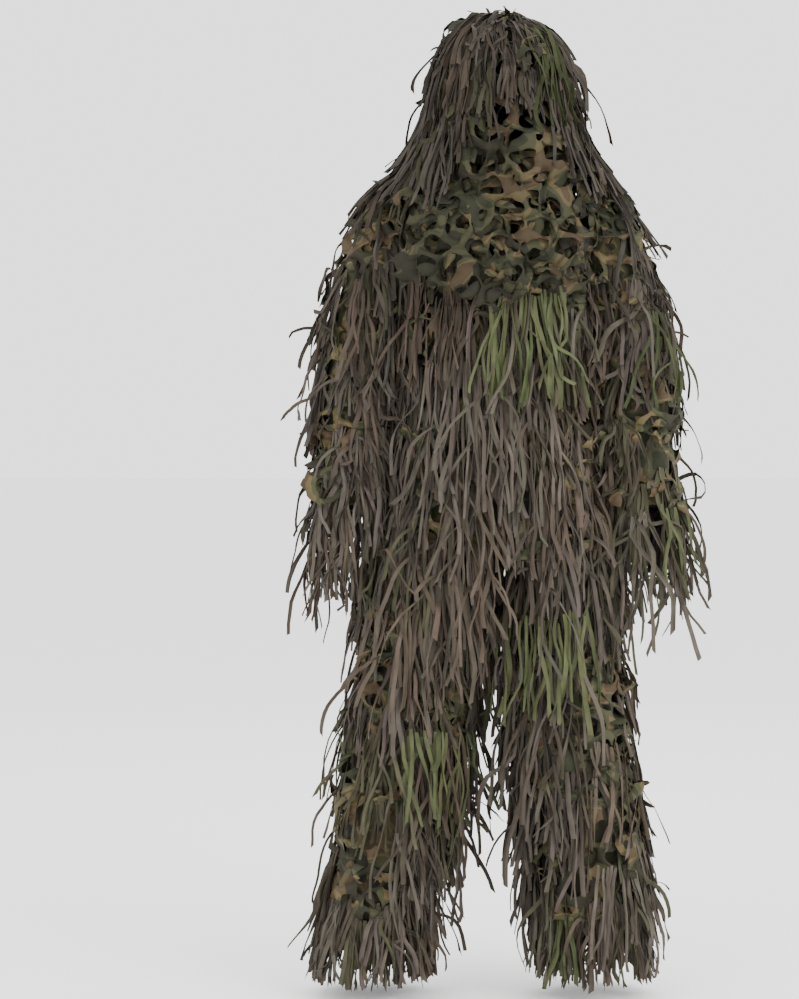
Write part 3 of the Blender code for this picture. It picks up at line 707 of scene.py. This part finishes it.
def net_cells(width, length, rng):
    """The flat net: holes on a triangular lattice. Returns flat points, triangles, for each point
    the hole that it borders (or -1) and its direction from that hole's middle, and the holes'
    middles and radii."""
    rise = NET_PITCH * math.sqrt(3) / 2
    columns, rows = int(width / NET_PITCH) + 1, int(length / rise) + 1
    grid = np.array([[(i + 0.5 * (j % 2)) * NET_PITCH, j * rise] for j in range(rows + 1)
                     for i in range(columns + 1)])
    holes = grid + rng.normal(0, 0.0040, grid.shape)
    radii = NET_PITCH * rng.uniform(0.340, 0.435, len(holes))
    radii[rng.random(len(holes)) < SMALL_HOLES] *= 0.5
    long_way, third_way = rng.uniform(0, 2 * math.pi, (2, len(holes)))
    stretch = rng.uniform(0.04, 0.26, len(holes))

    def rim_point(k, turn):
        shape = 1 + stretch[k] * math.cos(2 * (turn - long_way[k]))
        shape += 0.16 * math.cos(3 * turn - third_way[k]) + 0.05 * math.cos(6 * turn - math.pi)
        reach = min(radii[k] * shape, 0.47 * NET_PITCH)
        return holes[k] + reach * np.array((math.cos(turn), math.sin(turn)))

    triangles = []
    for j in range(rows):
        for i in range(columns):
            here = j * (columns + 1) + i
            right, up, up_right = here + 1, here + columns + 1, here + columns + 2
            if j % 2:
                triangles += [(here, right, up_right), (here, up_right, up)]
            else:
                triangles += [(here, right, up), (right, up_right, up)]
    points, faces, hole, angle = [], [], [], []
    arc = np.linspace(0, 1, 5)
    for corners in triangles:
        middle = holes[list(corners)].mean(0)
        rim = []
        for k in range(3):
            here, one, two = corners[k], corners[k - 1], corners[(k + 1) % 3]
            start = math.atan2(*(holes[one] - holes[here])[::-1])
            end = math.atan2(*(holes[two] - holes[here])[::-1])
            swing = (end - start + math.pi) % (2 * math.pi) - math.pi
            for share in arc:
                turn = start + swing * share
                rim.append((rim_point(here, turn), here, turn))
        first = len(points)
        for place, here, turn in [(middle, -1, 0.0), *rim]:
            points.append(place)
            hole.append(here)
            angle.append(turn)
        faces += [(first, first + 1 + k, first + 1 + (k + 1) % 15) for k in range(15)]
    return np.array(points), np.array(faces), np.array(hole), np.array(angle), holes, radii


def merged(points, faces, *values):
    """Points that coincide made one, with the first one's values kept."""
    keys = np.round(points / 1e-5).astype(np.int64)
    _, first, index = np.unique(keys, axis=0, return_index=True, return_inverse=True)
    return points[first], index.reshape(-1)[faces], *(value[first] for value in values)


def leaf_net(name, skin, width, drops, stand, seed, turn=0.25, full=False, curl=0.006, loose=0.006,
             inside=None, ragged=0.0, material=None):
    """A net over part of a skin: width metres wide at its middle, round the given turn (0.75 is
    the front), between two drops. Returns the object and the net's flat area."""
    rng = np.random.default_rng([seed, len(name)])
    length = drops[1] - drops[0]
    points, faces, hole, angle, holes, radii = net_cells(width, length, rng)
    points, faces, hole, angle = merged(points, faces, hole, angle)
    lift_way = rng.uniform(0, 2 * math.pi, len(holes))
    lift = rng.uniform(0.2, 1.0, len(holes)) * curl
    raised = np.where(hole >= 0, lift[hole] * np.maximum(np.cos(angle - lift_way[hole]), -0.35), 0.0)
    flat, triangles, height = [points], [faces], [raised]
    total = len(points)
    for k in np.flatnonzero(rng.random(len(holes)) < FLAPS):
        more, cut, rise = flap(holes[k], radii[k], rng)
        flat.append(more)
        triangles.append(cut + total)
        height.append(rise)
        total += len(more)
    flat, triangles, height = map(np.concatenate, (flat, triangles, height))
    level = drops[0] + flat[:, 1].clip(-0.01, length + 0.02)
    turns = turn + (flat[:, 0] / width if full else (flat[:, 0] - width / 2) / skin.girth(level))
    places, normals = skin.sample(turns, level)
    spare = np.maximum(level - skin.length, 0)[:, None] * DOWN  # below the skin's end
    # it lies loose, so it bulges and creases at several sizes
    bulge = loose * (ripple(places, 0.16, seed) + 0.6 * ripple(places, 0.07, seed + 1))
    bulge += 0.0030 * ripple(places, 0.034, seed + 2)
    places = places + 0.0040 * np.stack([ripple(places, 0.06, seed + k) for k in (5, 6, 7)], -1)
    places = places + spare + normals * (stand + bulge + height)[:, None]
    places = places.clip(LOW - NET_PROUD, HIGH + NET_PROUD)
    centres = flat[triangles].mean(1)
    # a ragged net is torn along its lower edge and, unless it goes all the way round, its sides
    edge = length - ragged * (0.5 + 0.4 * ripple(np.column_stack((centres, centres[:, 0])), 0.17, seed))
    kept = centres[:, 1] < edge if ragged else np.full(len(triangles), True)
    if ragged and not full:
        side = np.abs(centres[:, 0] - width / 2) + 0.3 * ragged * ripple(centres, 0.15, seed + 2)
        kept &= side < width / 2 - 0.3 * ragged
    if inside is not None:
        kept &= inside(places[triangles].mean(1))
    triangles = triangles[kept]
    area = flat_area(flat, triangles)
    used, index = np.unique(triangles, return_inverse=True)
    places, flat = places[used], flat[used]
    triangles = index.reshape(-1, 3)
    print_place = np.column_stack((flat, np.full(len(flat), seed * 0.37)))
    made = mesh_object(name, places, triangles, material or NET, (("flat", print_place),), sharp=80)
    made.modifiers.new("thickness", "SOLIDIFY").thickness = NET_THICKNESS
    return made, area


def flat_area(flat, triangles):
    a, b, c = (flat[triangles[:, k]] for k in range(3))
    one, two = b - a, c - a
    return float(np.abs(one[:, 0] * two[:, 1] - one[:, 1] * two[:, 0]).sum() / 2)


def flap(middle, radius, rng):
    """The leaf that was cut free from a hole: it hangs from the rim and curls outwards."""
    top = -math.pi / 2 + rng.normal(0, 0.9)
    reach = radius * rng.uniform(0.9, 1.7)
    wide = rng.uniform(0.25, 0.45)
    rows = np.linspace(0, 1, 5)
    out = np.array((math.cos(top), math.sin(top)))
    across = np.array((-out[1], out[0]))
    points, height = [], []
    curl = rng.uniform(0.002, 0.018)
    twist = rng.normal(0, 0.5)
    for row in rows:
        half = radius * (wide * (1 - row) ** 0.6 + 0.24 * math.sin(math.pi * row))
        for k in (-1, 0, 1):
            base = middle + out * (radius * 0.98 - reach * row) + across * half * k
            points.append(base)
            height.append(0.0025 + curl * row**1.6 + k * twist * half * row)
    faces = []
    for r in range(4):
        for k in range(2):
            a, b, c, d = r * 3 + k, r * 3 + k + 1, r * 3 + k + 4, r * 3 + k + 3
            faces += [(a, b, c), (a, c, d)]
    return np.array(points), np.array(faces), np.array(height)


def liner(name, skin, drops, grow, turns=(0.0, 1.0)):
    """The garment's cloth over part of a skin, with soft folds."""
    rows = np.linspace(*drops, max(4, int((drops[1] - drops[0]) / 0.012)))
    columns = np.linspace(*turns, int(72 * (turns[1] - turns[0])) + 1)
    closed = turns[1] - turns[0] == 1
    if closed:
        columns = columns[:-1]
    grid_turn, grid_drop = np.meshgrid(columns, rows)
    places, normals = skin.sample(grid_turn, grid_drop)
    folds = 0.0022 * ripple(places, 0.11, 5) + 0.0012 * ripple(places, 0.045, 6)
    places = places + normals * (grow + folds)[..., None]
    faces = grid_faces(len(rows), len(columns), closed)
    made = mesh_object(name, places.reshape(-1, 3), faces, CLOTH, sharp=80)
    made.modifiers.new("thickness", "SOLIDIFY").thickness = CLOTH_THICKNESS
    width = float(skin.girth(sum(drops) / 2)) * (turns[1] - turns[0])
    return made, (width, drops[1] - drops[0])


# ---- dressing each stretch


def scraps(name, skin, width, drops, seed, stand=0.024, most=0.95, turn=0.25, full=True):
    """Patches of the leaf net that lie over the strips."""
    made, _ = leaf_net(name, skin, width, drops, stand, seed, turn=turn, full=full, loose=0.008,
                       inside=lambda places: ripple(places, 0.20, seed) > most)
    return made


def round_width(skin, drop, stand):
    """The flat width of a net that goes round a skin at that drop, standing off it."""
    return float(skin.girth(drop)) + 2 * math.pi * stand


def drop_at(skin, height):
    """The drop at which a skin reaches a height, along its front."""
    heights = skin.points[:, skin.AROUND * 3 // 4, 2]
    return float(np.interp(-height, -heights, skin.drops))


def dress_torso():
    skin = SKIN["torso"]
    tree = tree_of(skin)
    waist = drop_at(skin, -0.445)
    upper = Bundle()
    rows = np.arange(drop_at(skin, -0.060), drop_at(skin, -0.300), 0.066)
    sow(upper, skin, "torso_upper", rows, (0.17, 0.25), (0.018, 0.036))
    bunch(upper, tree, 0.043, -0.190, 0.115, 24, 0.205, "green", 1, start=0.030,
          tip=(0.046, 0.060), fan=0.24)
    bunch(upper, tree, -0.060, -0.205, 0.080, 11, 0.170, "dark", 2)
    strips = ribbons("torso_strips", upper, tree, 11)
    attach(strips, "jacket")
    girth = round_width(skin, 0.2, 0.011)
    net, area = leaf_net("torso_net", skin, girth, (0.02, waist), 0.011, 3, full=True)
    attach(net, "jacket")
    patches = scraps("torso_patches", skin, girth, (0.12, waist), 103)
    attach(patches, "jacket")
    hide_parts("back_foliage", "front_foliage_left", "front_foliage_right")


MIDDLE = 0.030  # the share of the way round, on each side of the middle, that stays with the jacket
OVERRUN = 0.02  # a row's last bunch runs over its end by about this share
SKIRT_BUNCHES = {  # x, z, width, strips, length, dye, seed, how far the tips stand off
    "right": [
        (-0.070, -0.315, 0.090, 18, 0.250, "grey", 3, (0.044, 0.058)),
        (-0.015, -0.330, 0.070, 14, 0.270, "grey", 4, (0.046, 0.060)),
        (-0.042, -0.490, 0.080, 14, 0.230, "brown", 5, (0.036, 0.050)),
        (-0.215, -0.560, 0.050, 9, 0.150, "green", 9, (0.034, 0.046)),
    ],
    "left": [
        (0.050, -0.385, 0.080, 15, 0.240, "grey", 6, (0.040, 0.054)),
        (0.115, -0.500, 0.090, 15, 0.220, "brown", 7, (0.034, 0.048)),
    ],
}


def dress_middle():
    """The strips between the thighs hang from the jacket alone."""
    skin = SKIN["torso"]
    middle = Bundle()
    for k, row in enumerate(np.arange(drop_at(skin, -0.345), skin.length, 0.064)):
        for turn in (0.25, 0.75):
            sow(middle, skin, f"middle_{k}", [row], (0.15, 0.21), (0.016, 0.032), keep=0.95,
                turns=(turn - MIDDLE, turn + MIDDLE - OVERRUN), seed=int(100 * turn), counts=(8, 12))
    tree = tree_of(skin, SKIN["left_leg"], SKIN["right_leg"])
    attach(ribbons("middle_strips", middle, tree, 25), "jacket")


def dress_skirt(side, sign):
    """Below the ribs, on one side: cloth and strips, baked where they are laid and riding on no body."""
    skin = SKIN["torso"]
    tree = tree_of(skin, SKIN[f"{side}_leg"])
    turns = (-0.25, 0.25) if sign > 0 else (0.25, 0.75)
    lower = Bundle()
    rows = np.arange(drop_at(skin, -0.330), skin.length, 0.064)
    inner = (turns[0] + MIDDLE, turns[1] - MIDDLE - OVERRUN)
    sow(lower, skin, f"skirt_{side}", rows, (0.17, 0.25), (0.020, 0.038), turns=inner)
    for values in SKIRT_BUNCHES[side]:
        bunch(lower, tree, *values)
    strips = ribbons(f"skirt_strips_{side}", lower, tree, 21)
    low = drop_at(skin, -0.430)
    cloth, flat = liner(f"skirt_cloth_{side}", skin, (low, skin.length), 0.002, turns)
    girth = float(skin.girth(0.5)) / 2
    net, area = leaf_net(f"skirt_net_{side}", skin, girth, (low - 0.01, skin.length), 0.011, 31,
                         turn=(turns[0] + turns[1]) / 2, ragged=0.020)
    patches = scraps(f"skirt_patches_{side}", skin, girth, (low, skin.length), 131 + sign,
                     turn=(turns[0] + turns[1]) / 2, full=False)
    for piece in (strips, cloth, net, patches):
        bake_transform(piece)
    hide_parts(f"jacket_skirt_{side}", f"trouser_seat_{side}")


def hang(pieces, across, body):
    """Rides the pieces on a body or, given (upper, lower, start, end), bakes their placement into
    their points; the values of that tuple are not used.
    """
    for piece in pieces:
        if across:
            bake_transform(piece)
        else:
            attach(piece, body)


def wrap(stretch, side, sign, skin, seed, look):
    """Cloth, net, and patches of net over the strips, round one stretch of a limb. The look says
    how far each stands off the skin, above which ripple a patch shows, how much shorter than the
    net the last cloth is cut, and what the cloth rests on, which is not used."""
    what, drops, across, body, nodes = stretch
    last = what in ("forearm", "shin")
    girth = round_width(skin, drops[0] + 0.05, look["net"])
    net, area = leaf_net(f"{what}_net_{side}", skin, girth, drops, look["net"], seed, full=True,
                         ragged=0.03 if last else 0)
    end = drops[1] - (look["cut"] if last else 0)
    cloth, flat = liner(f"{what}_cloth_{side}", skin, (drops[0], end), look["cloth"])
    patches = scraps(f"{what}_patches_{side}", skin, girth, drops, seed + 100 + 5 * sign,
                     stand=look["patches"], most=look["most"])
    hang((cloth, net, patches), across, body)
    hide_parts(*nodes)


ARM_ODDS = (0.34, 0.24, 0.18, 0.24)
# How far the arm's strips are darkened: painted shade, most under the cape at the shoulder.
ARM_PAINTED_SHADE = {"shoulder": 0.74, "elbow": 0.84, "forearm": 0.96}
ARM_COUNTS = (9, 18)  # strips in a bunch
ARM_LOOK = {
    "net": 0.012, "cloth": 0.003, "patches": 0.024, "most": 0.55, "cut": 0, "on": "upper_sleeve",
}
ARM_BUNCHES = {
    ("shoulder", "left"): [(0.300, -0.215, 0.075, 14, 0.170, "green", 10)],
    ("elbow", "left"): [(0.315, -0.260, 0.070, 12, 0.150, "green", 11)],
    ("forearm", "left"): [(0.318, -0.585, 0.060, 12, 0.155, "green", 12, (0.036, 0.050))],
}


def dress_arm(side, sign):
    skin = SKIN[f"{side}_arm"]
    tree = tree_of(skin, SKIN["torso"])
    shoulder, elbow = joint_place(f"{side}_shoulder_raise"), joint_place(f"{side}_elbow_bend")
    middle = drop_at(skin, (shoulder[2] + elbow[2]) / 2 - 0.02)
    low = drop_at(skin, elbow[2] - 0.10)
    over, under = np.array((-sign * 0.045, 0, 0.030)), np.array((sign * 0.035, 0, -0.100))
    bend = np.array((0, 0, 0.065))
    upper_body, lower_body = f"{side}_upper_sleeve", f"{side}_forearm_sleeve"
    over_shoulder = ("jacket", upper_body, shoulder + over, shoulder + under)
    over_elbow = (upper_body, lower_body, elbow + bend, elbow - bend)
    shoulder_nodes = (f"sleeve_head_{side}", f"upper_sleeve_foliage_{side}")
    stretches = [
        ("shoulder", (0.012, middle), over_shoulder, None, shoulder_nodes),
        ("elbow", (middle, low), over_elbow, None, (f"elbow_{side}",)),
        ("forearm", (low, skin.length - 0.010), None, lower_body, (f"forearm_foliage_{side}",)),
    ]
    for index, stretch in enumerate(stretches):
        what, drops, across, body, _ = stretch
        bundle = Bundle()
        first = drops[0] if what != "elbow" else drops[0] - 0.10
        last = drops[1] if what != "shoulder" else drops[1] - 0.10
        rows = np.arange(first + 0.02, last + 0.005, 0.050)
        for k, row in enumerate(rows):
            if what == "shoulder" and k < 2:  # under the cape
                lengths, tips, keep = (0.13, 0.17), (0.008, 0.014), 0.30
            else:
                lengths, tips, keep = (0.11, 0.19), (0.016, 0.036), 0.90
            sow(bundle, skin, f"{what}_{side}_{k}", [row], lengths, tips, keep=keep,
                counts=ARM_COUNTS, odds=ARM_ODDS, tangle=0.23)
        if what == "forearm":
            hem_rows = [drops[1] - 0.030, drops[1] - 0.008]
            sow(bundle, skin, f"cuff_{side}", hem_rows, (0.17, 0.25), (0.004, 0.024),
                keep=1.0, counts=ARM_COUNTS, odds=ARM_ODDS, tangle=0.20)
        for values in ARM_BUNCHES.get((what, side), []):
            bunch(bundle, tree, *values, start=0.026)
        strips = ribbons(f"{what}_strips_{side}", bundle, tree, 41 + index, ARM_PAINTED_SHADE[what],
                         wander=0.125)
        hang((strips,), across, body)
        wrap(stretch, side, sign, skin, 43 + index, ARM_LOOK)


LEG_LOOK = {
    "net": 0.013, "cloth": 0.004, "patches": 0.028, "most": 0.75, "cut": 0.045, "on": "thigh",
}
LEG_BUNCHES = {
    ("thigh", "left"): [
        (0.090, -0.775, 0.120, 22, 0.185, "green", 13, (0.060, 0.076)),
        (0.215, -0.700, 0.050, 9, 0.20, "grey", 14, (0.040, 0.054)),
    ],
    ("thigh", "right"): [
        (-0.085, -0.720, 0.090, 16, 0.19, "grey", 15, (0.050, 0.064)),
        (-0.165, -0.770, 0.080, 13, 0.20, "brown", 16, (0.040, 0.054)),
    ],
    ("knee", "right"): [(-0.120, -0.995, 0.105, 20, 0.165, "green", 17, (0.054, 0.070))],
    ("knee", "left"): [
        (0.055, -0.950, 0.080, 14, 0.190, "grey", 18, (0.040, 0.054)),
        (0.190, -1.020, 0.060, 10, 0.190, "brown", 19, (0.040, 0.054)),
    ],
    ("shin", "left"): [
        (0.135, -1.330, 0.035, 8, 0.130, "green", 20, (0.040, 0.054)),
        (0.215, -1.250, 0.070, 12, 0.18, "grey", 21, (0.040, 0.054)),
    ],
    ("shin", "right"): [(-0.150, -1.180, 0.080, 14, 0.19, "grey", 22, (0.040, 0.054))],
}


def dress_leg(side, sign):
    skin = SKIN[f"{side}_leg"]
    tree = tree_of(skin)
    knee = joint_place(f"{side}_knee_bend")
    thigh_end, knee_end = drop_at(skin, knee[2] + 0.13), drop_at(skin, knee[2] - 0.12)
    bend = np.array((0, 0, 0.08))
    thigh_body, shin_body = f"{side}_thigh", f"{side}_shin"
    over_knee = (thigh_body, shin_body, knee + bend, knee - bend)
    stretches = [
        ("thigh", (0.02, thigh_end), None, thigh_body, (f"thigh_foliage_{side}",)),
        ("knee", (thigh_end, knee_end), over_knee, None, (f"knee_{side}",)),
        ("shin", (knee_end, skin.length), None, shin_body, (f"shin_foliage_{side}",)),
    ]
    for index, stretch in enumerate(stretches):
        what, drops, across, body, _ = stretch
        bundle = Bundle()
        rows = np.arange(drops[0] + 0.01, drops[1], 0.066)
        lengths = (0.17, 0.25) if what != "shin" else (0.14, 0.21)
        sow(bundle, skin, f"{what}_{side}", rows, lengths, (0.018, 0.042))
        if what == "shin":
            hem_rows = [drops[1] - 0.060, drops[1] - 0.020]
            sow(bundle, skin, f"hem_{side}", hem_rows, (0.10, 0.16), (0.008, 0.026),
                keep=1.0, counts=(8, 16), tangle=0.20)
        for *values, tip in LEG_BUNCHES.get((what, side), []):
            bunch(bundle, tree, *values, tip=tip, start=tip[0] - 0.016)
        strips = ribbons(f"{what}_strips_{side}", bundle, tree, 51 + index)
        hang((strips,), over_knee if what == "thigh" else across, body)
        wrap(stretch, side, sign, skin, 53 + index, LEG_LOOK)


HOOD_STYLE = {
    "odds": (0.34, 0.20, 0.32, 0.14),
    "spread": (0.0, 0.35),
    "tangle": 0.24,
    "counts": (6, 14),
}
HOOD_BUNCHES = [
    (0.088, 0.262, 0.040, 12, 0.150, "moss", 23),
    (0.060, 0.290, 0.030, 6, 0.140, "moss", 24),
]


def face_hole(points):
    """Which points of the hood's net are clear of the hole for the face."""
    return ~((points[:, 1] < 0) & (abs(points[:, 0]) < 0.078) & (points[:, 2] < 0.235))


def dress_hood():
    """Strips from the crown: some hang over the back and the shoulders, and some over the veil."""
    skin, drape, face = SKIN["hood"], SKIN["drape"], SKIN["face"]
    crown, brow = Bundle(), Bundle()
    for k, drop in enumerate(np.arange(0.012, drop_at(drape, 0.075), 0.034)):
        sow(crown, drape, f"crown_{k}", [drop], (0.12, 0.22), (0.004, 0.022), keep=0.92,
            turns=(-0.10, 0.60), start=0.003, **HOOD_STYLE)
    over_veil = ((0.58, 0.655, 0.13, 0.22), (0.655, 0.83, 0.06, 0.11), (0.83, 0.92, 0.13, 0.21))
    for k, drop in enumerate(np.arange(0.012, drop_at(face, 0.205), 0.027)):
        for first, last, shortest, longest in over_veil:
            sow(brow, face, f"brow_{k}", [drop], (shortest, longest), (0.002, 0.016), keep=0.88,
                turns=(first, last), start=0.002, seed=int(first * 100), **HOOD_STYLE)
    for values in HOOD_BUNCHES:
        bunch(brow, tree_of(face), *values, start=0.010, tip=(0.012, 0.020))
    # The hood's strips are darkened to about 0.6 of their dyes: painted shade.
    strips = ribbons("hood_strips", crown, tree_of(drape, SKIN["cape"]), 61, tone_and_painted_shade=0.62, stiff=0.45)
    front = ribbons("brow_strips", brow, tree_of(face), 62, tone_and_painted_shade=0.60, stiff=0.45)
    girth = float(skin.girth(0.15))
    net, area = leaf_net("hood_net", skin, girth, (0.01, skin.length - 0.01), 0.008, 63, full=True,
                         inside=face_hole, material=HOOD_NET_PAINTED_SHADE)
    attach(net, "hood")
    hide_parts("hood_foliage")
    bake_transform(strips)
    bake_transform(front)


def dress_cape():
    """The net widens over the shoulders, so it is sewn from bands."""
    skin = SKIN["cape"]
    bands = []
    edges = (0.0, 0.065, 0.130, skin.length)
    for k in range(3):
        drops = (max(edges[k] - 0.012, 0), edges[k + 1])
        girth = round_width(skin, sum(drops) / 2, 0.010)
        hem = 0.04 if k == 2 else 0
        made = {"full": True, "ragged": hem, "material": HOOD_NET_PAINTED_SHADE}
        net, area = leaf_net(f"cape_net_{k + 1}", skin, girth, drops, 0.004, 71 + k, loose=0.008,
                             **made)
        under, _ = leaf_net(f"cape_under_net_{k + 1}", skin, girth, drops, -0.008, 75 + k, **made)
        bands.append((net, under, area, girth, drops[1] - drops[0]))
    bundle = Bundle()
    rows = np.arange(0.03, skin.length - 0.07, 0.058)
    sow(bundle, skin, "cape", rows, (0.10, 0.16), (0.008, 0.018), turns=(0.03, 0.47), keep=0.45)
    # The cape's strips are darkened to 0.75 of their dyes: painted shade.
    strips = ribbons("cape_strips", bundle, tree_of(skin), 72, tone_and_painted_shade=0.75)
    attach(strips, "hood_cape")
    for net, under, area, girth, length in bands:
        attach(net, "hood_cape")
        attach(under, "hood_cape")
    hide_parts("shoulder_cape")


def dress_veil():
    skin = SKIN["veil"]
    wide = 0.34
    net, area = leaf_net("veil_net", skin, wide, (0.0, skin.length), 0.000, 81, turn=0.75, loose=0.009,
                         curl=0.007, ragged=0.045, material=HOOD_NET_PAINTED_SHADE)
    under, _ = leaf_net("veil_under_net", skin, wide - 0.03, (0.01, skin.length - 0.02), -0.011, 82,
                        turn=0.75, ragged=0.04, material=HOOD_NET_PAINTED_SHADE)
    for piece in (net, under):
        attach(piece, "veil")
    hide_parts("face_veil")


def finish_nodes():
    """The CAD pieces that stay get their materials."""
    by_slot = {"lining": LINING, "base_cloth": CLOTH, "webbing": WEBBING, "elastic": ELASTIC,
               "hook_loop": TAPE, "plastic": PLASTIC, "strands": CLOTH, "leaf_net": CLOTH}
    slots = {part["node"]: part["material_slot"] for part in frame["record"]["subparts"]}
    for name, node in frame["nodes"].items():
        node.data.materials.clear()
        node.data.materials.append(by_slot[slots[name]])


# ---- stage


def make_stage():
    pale = bpy.data.materials.new("pale_floor")
    pale.use_nodes = True
    inputs = pale.node_tree.nodes["Principled BSDF"].inputs
    inputs["Base Color"].default_value = (0.93, 0.93, 0.93, 1)
    inputs["Roughness"].default_value = 0.9
    bpy.ops.mesh.primitive_plane_add(size=60, location=(0, 0, FLOOR))
    floor = bpy.context.object
    floor.name = "floor"
    floor.data.materials.append(pale)
    world = bpy.data.worlds.new("studio")
    world.use_nodes = True
    inputs = world.node_tree.nodes["Background"].inputs
    inputs["Color"].default_value = (1, 1, 1, 1)
    inputs["Strength"].default_value = 2.2
    bpy.context.scene.world = world
    for place, size, power in (
        ((-2.6, -3.2, 1.6), 2.4, 60),
        ((2.8, -2.8, 1.2), 2.4, 150),
        ((0.0, 2.6, 2.4), 2.0, 70),
    ):
        data = bpy.data.lights.new("softbox", "AREA")
        data.size, data.energy = size, power
        lamp = new_object("softbox", data)
        lamp.location = place
        lamp.rotation_euler = (Vector((0, 0, -0.6)) - Vector(place)).to_track_quat("-Z", "Y").to_euler()


def make_camera():
    """From the front at chest height; the suit stands right of the frame's middle."""
    distance, height, seen, centre = 5.6, -0.35, 1.868, -0.570
    data = bpy.data.cameras.new("camera")
    data.lens = data.sensor_width * distance / seen
    data.shift_x = -0.182 / seen
    camera = new_object("camera", data)
    camera.location = (0, -distance, height)
    aim = Vector((0, distance, centre - height))
    camera.rotation_euler = aim.to_track_quat("-Z", "Y").to_euler()
    bpy.context.scene.camera = camera


make_camera()
make_stage()
finish_nodes()
dress_torso()
dress_middle()
for side, sign in SIDES:
    dress_skirt(side, sign)
    dress_arm(side, sign)
    dress_leg(side, sign)
dress_hood()
dress_cape()
dress_veil()
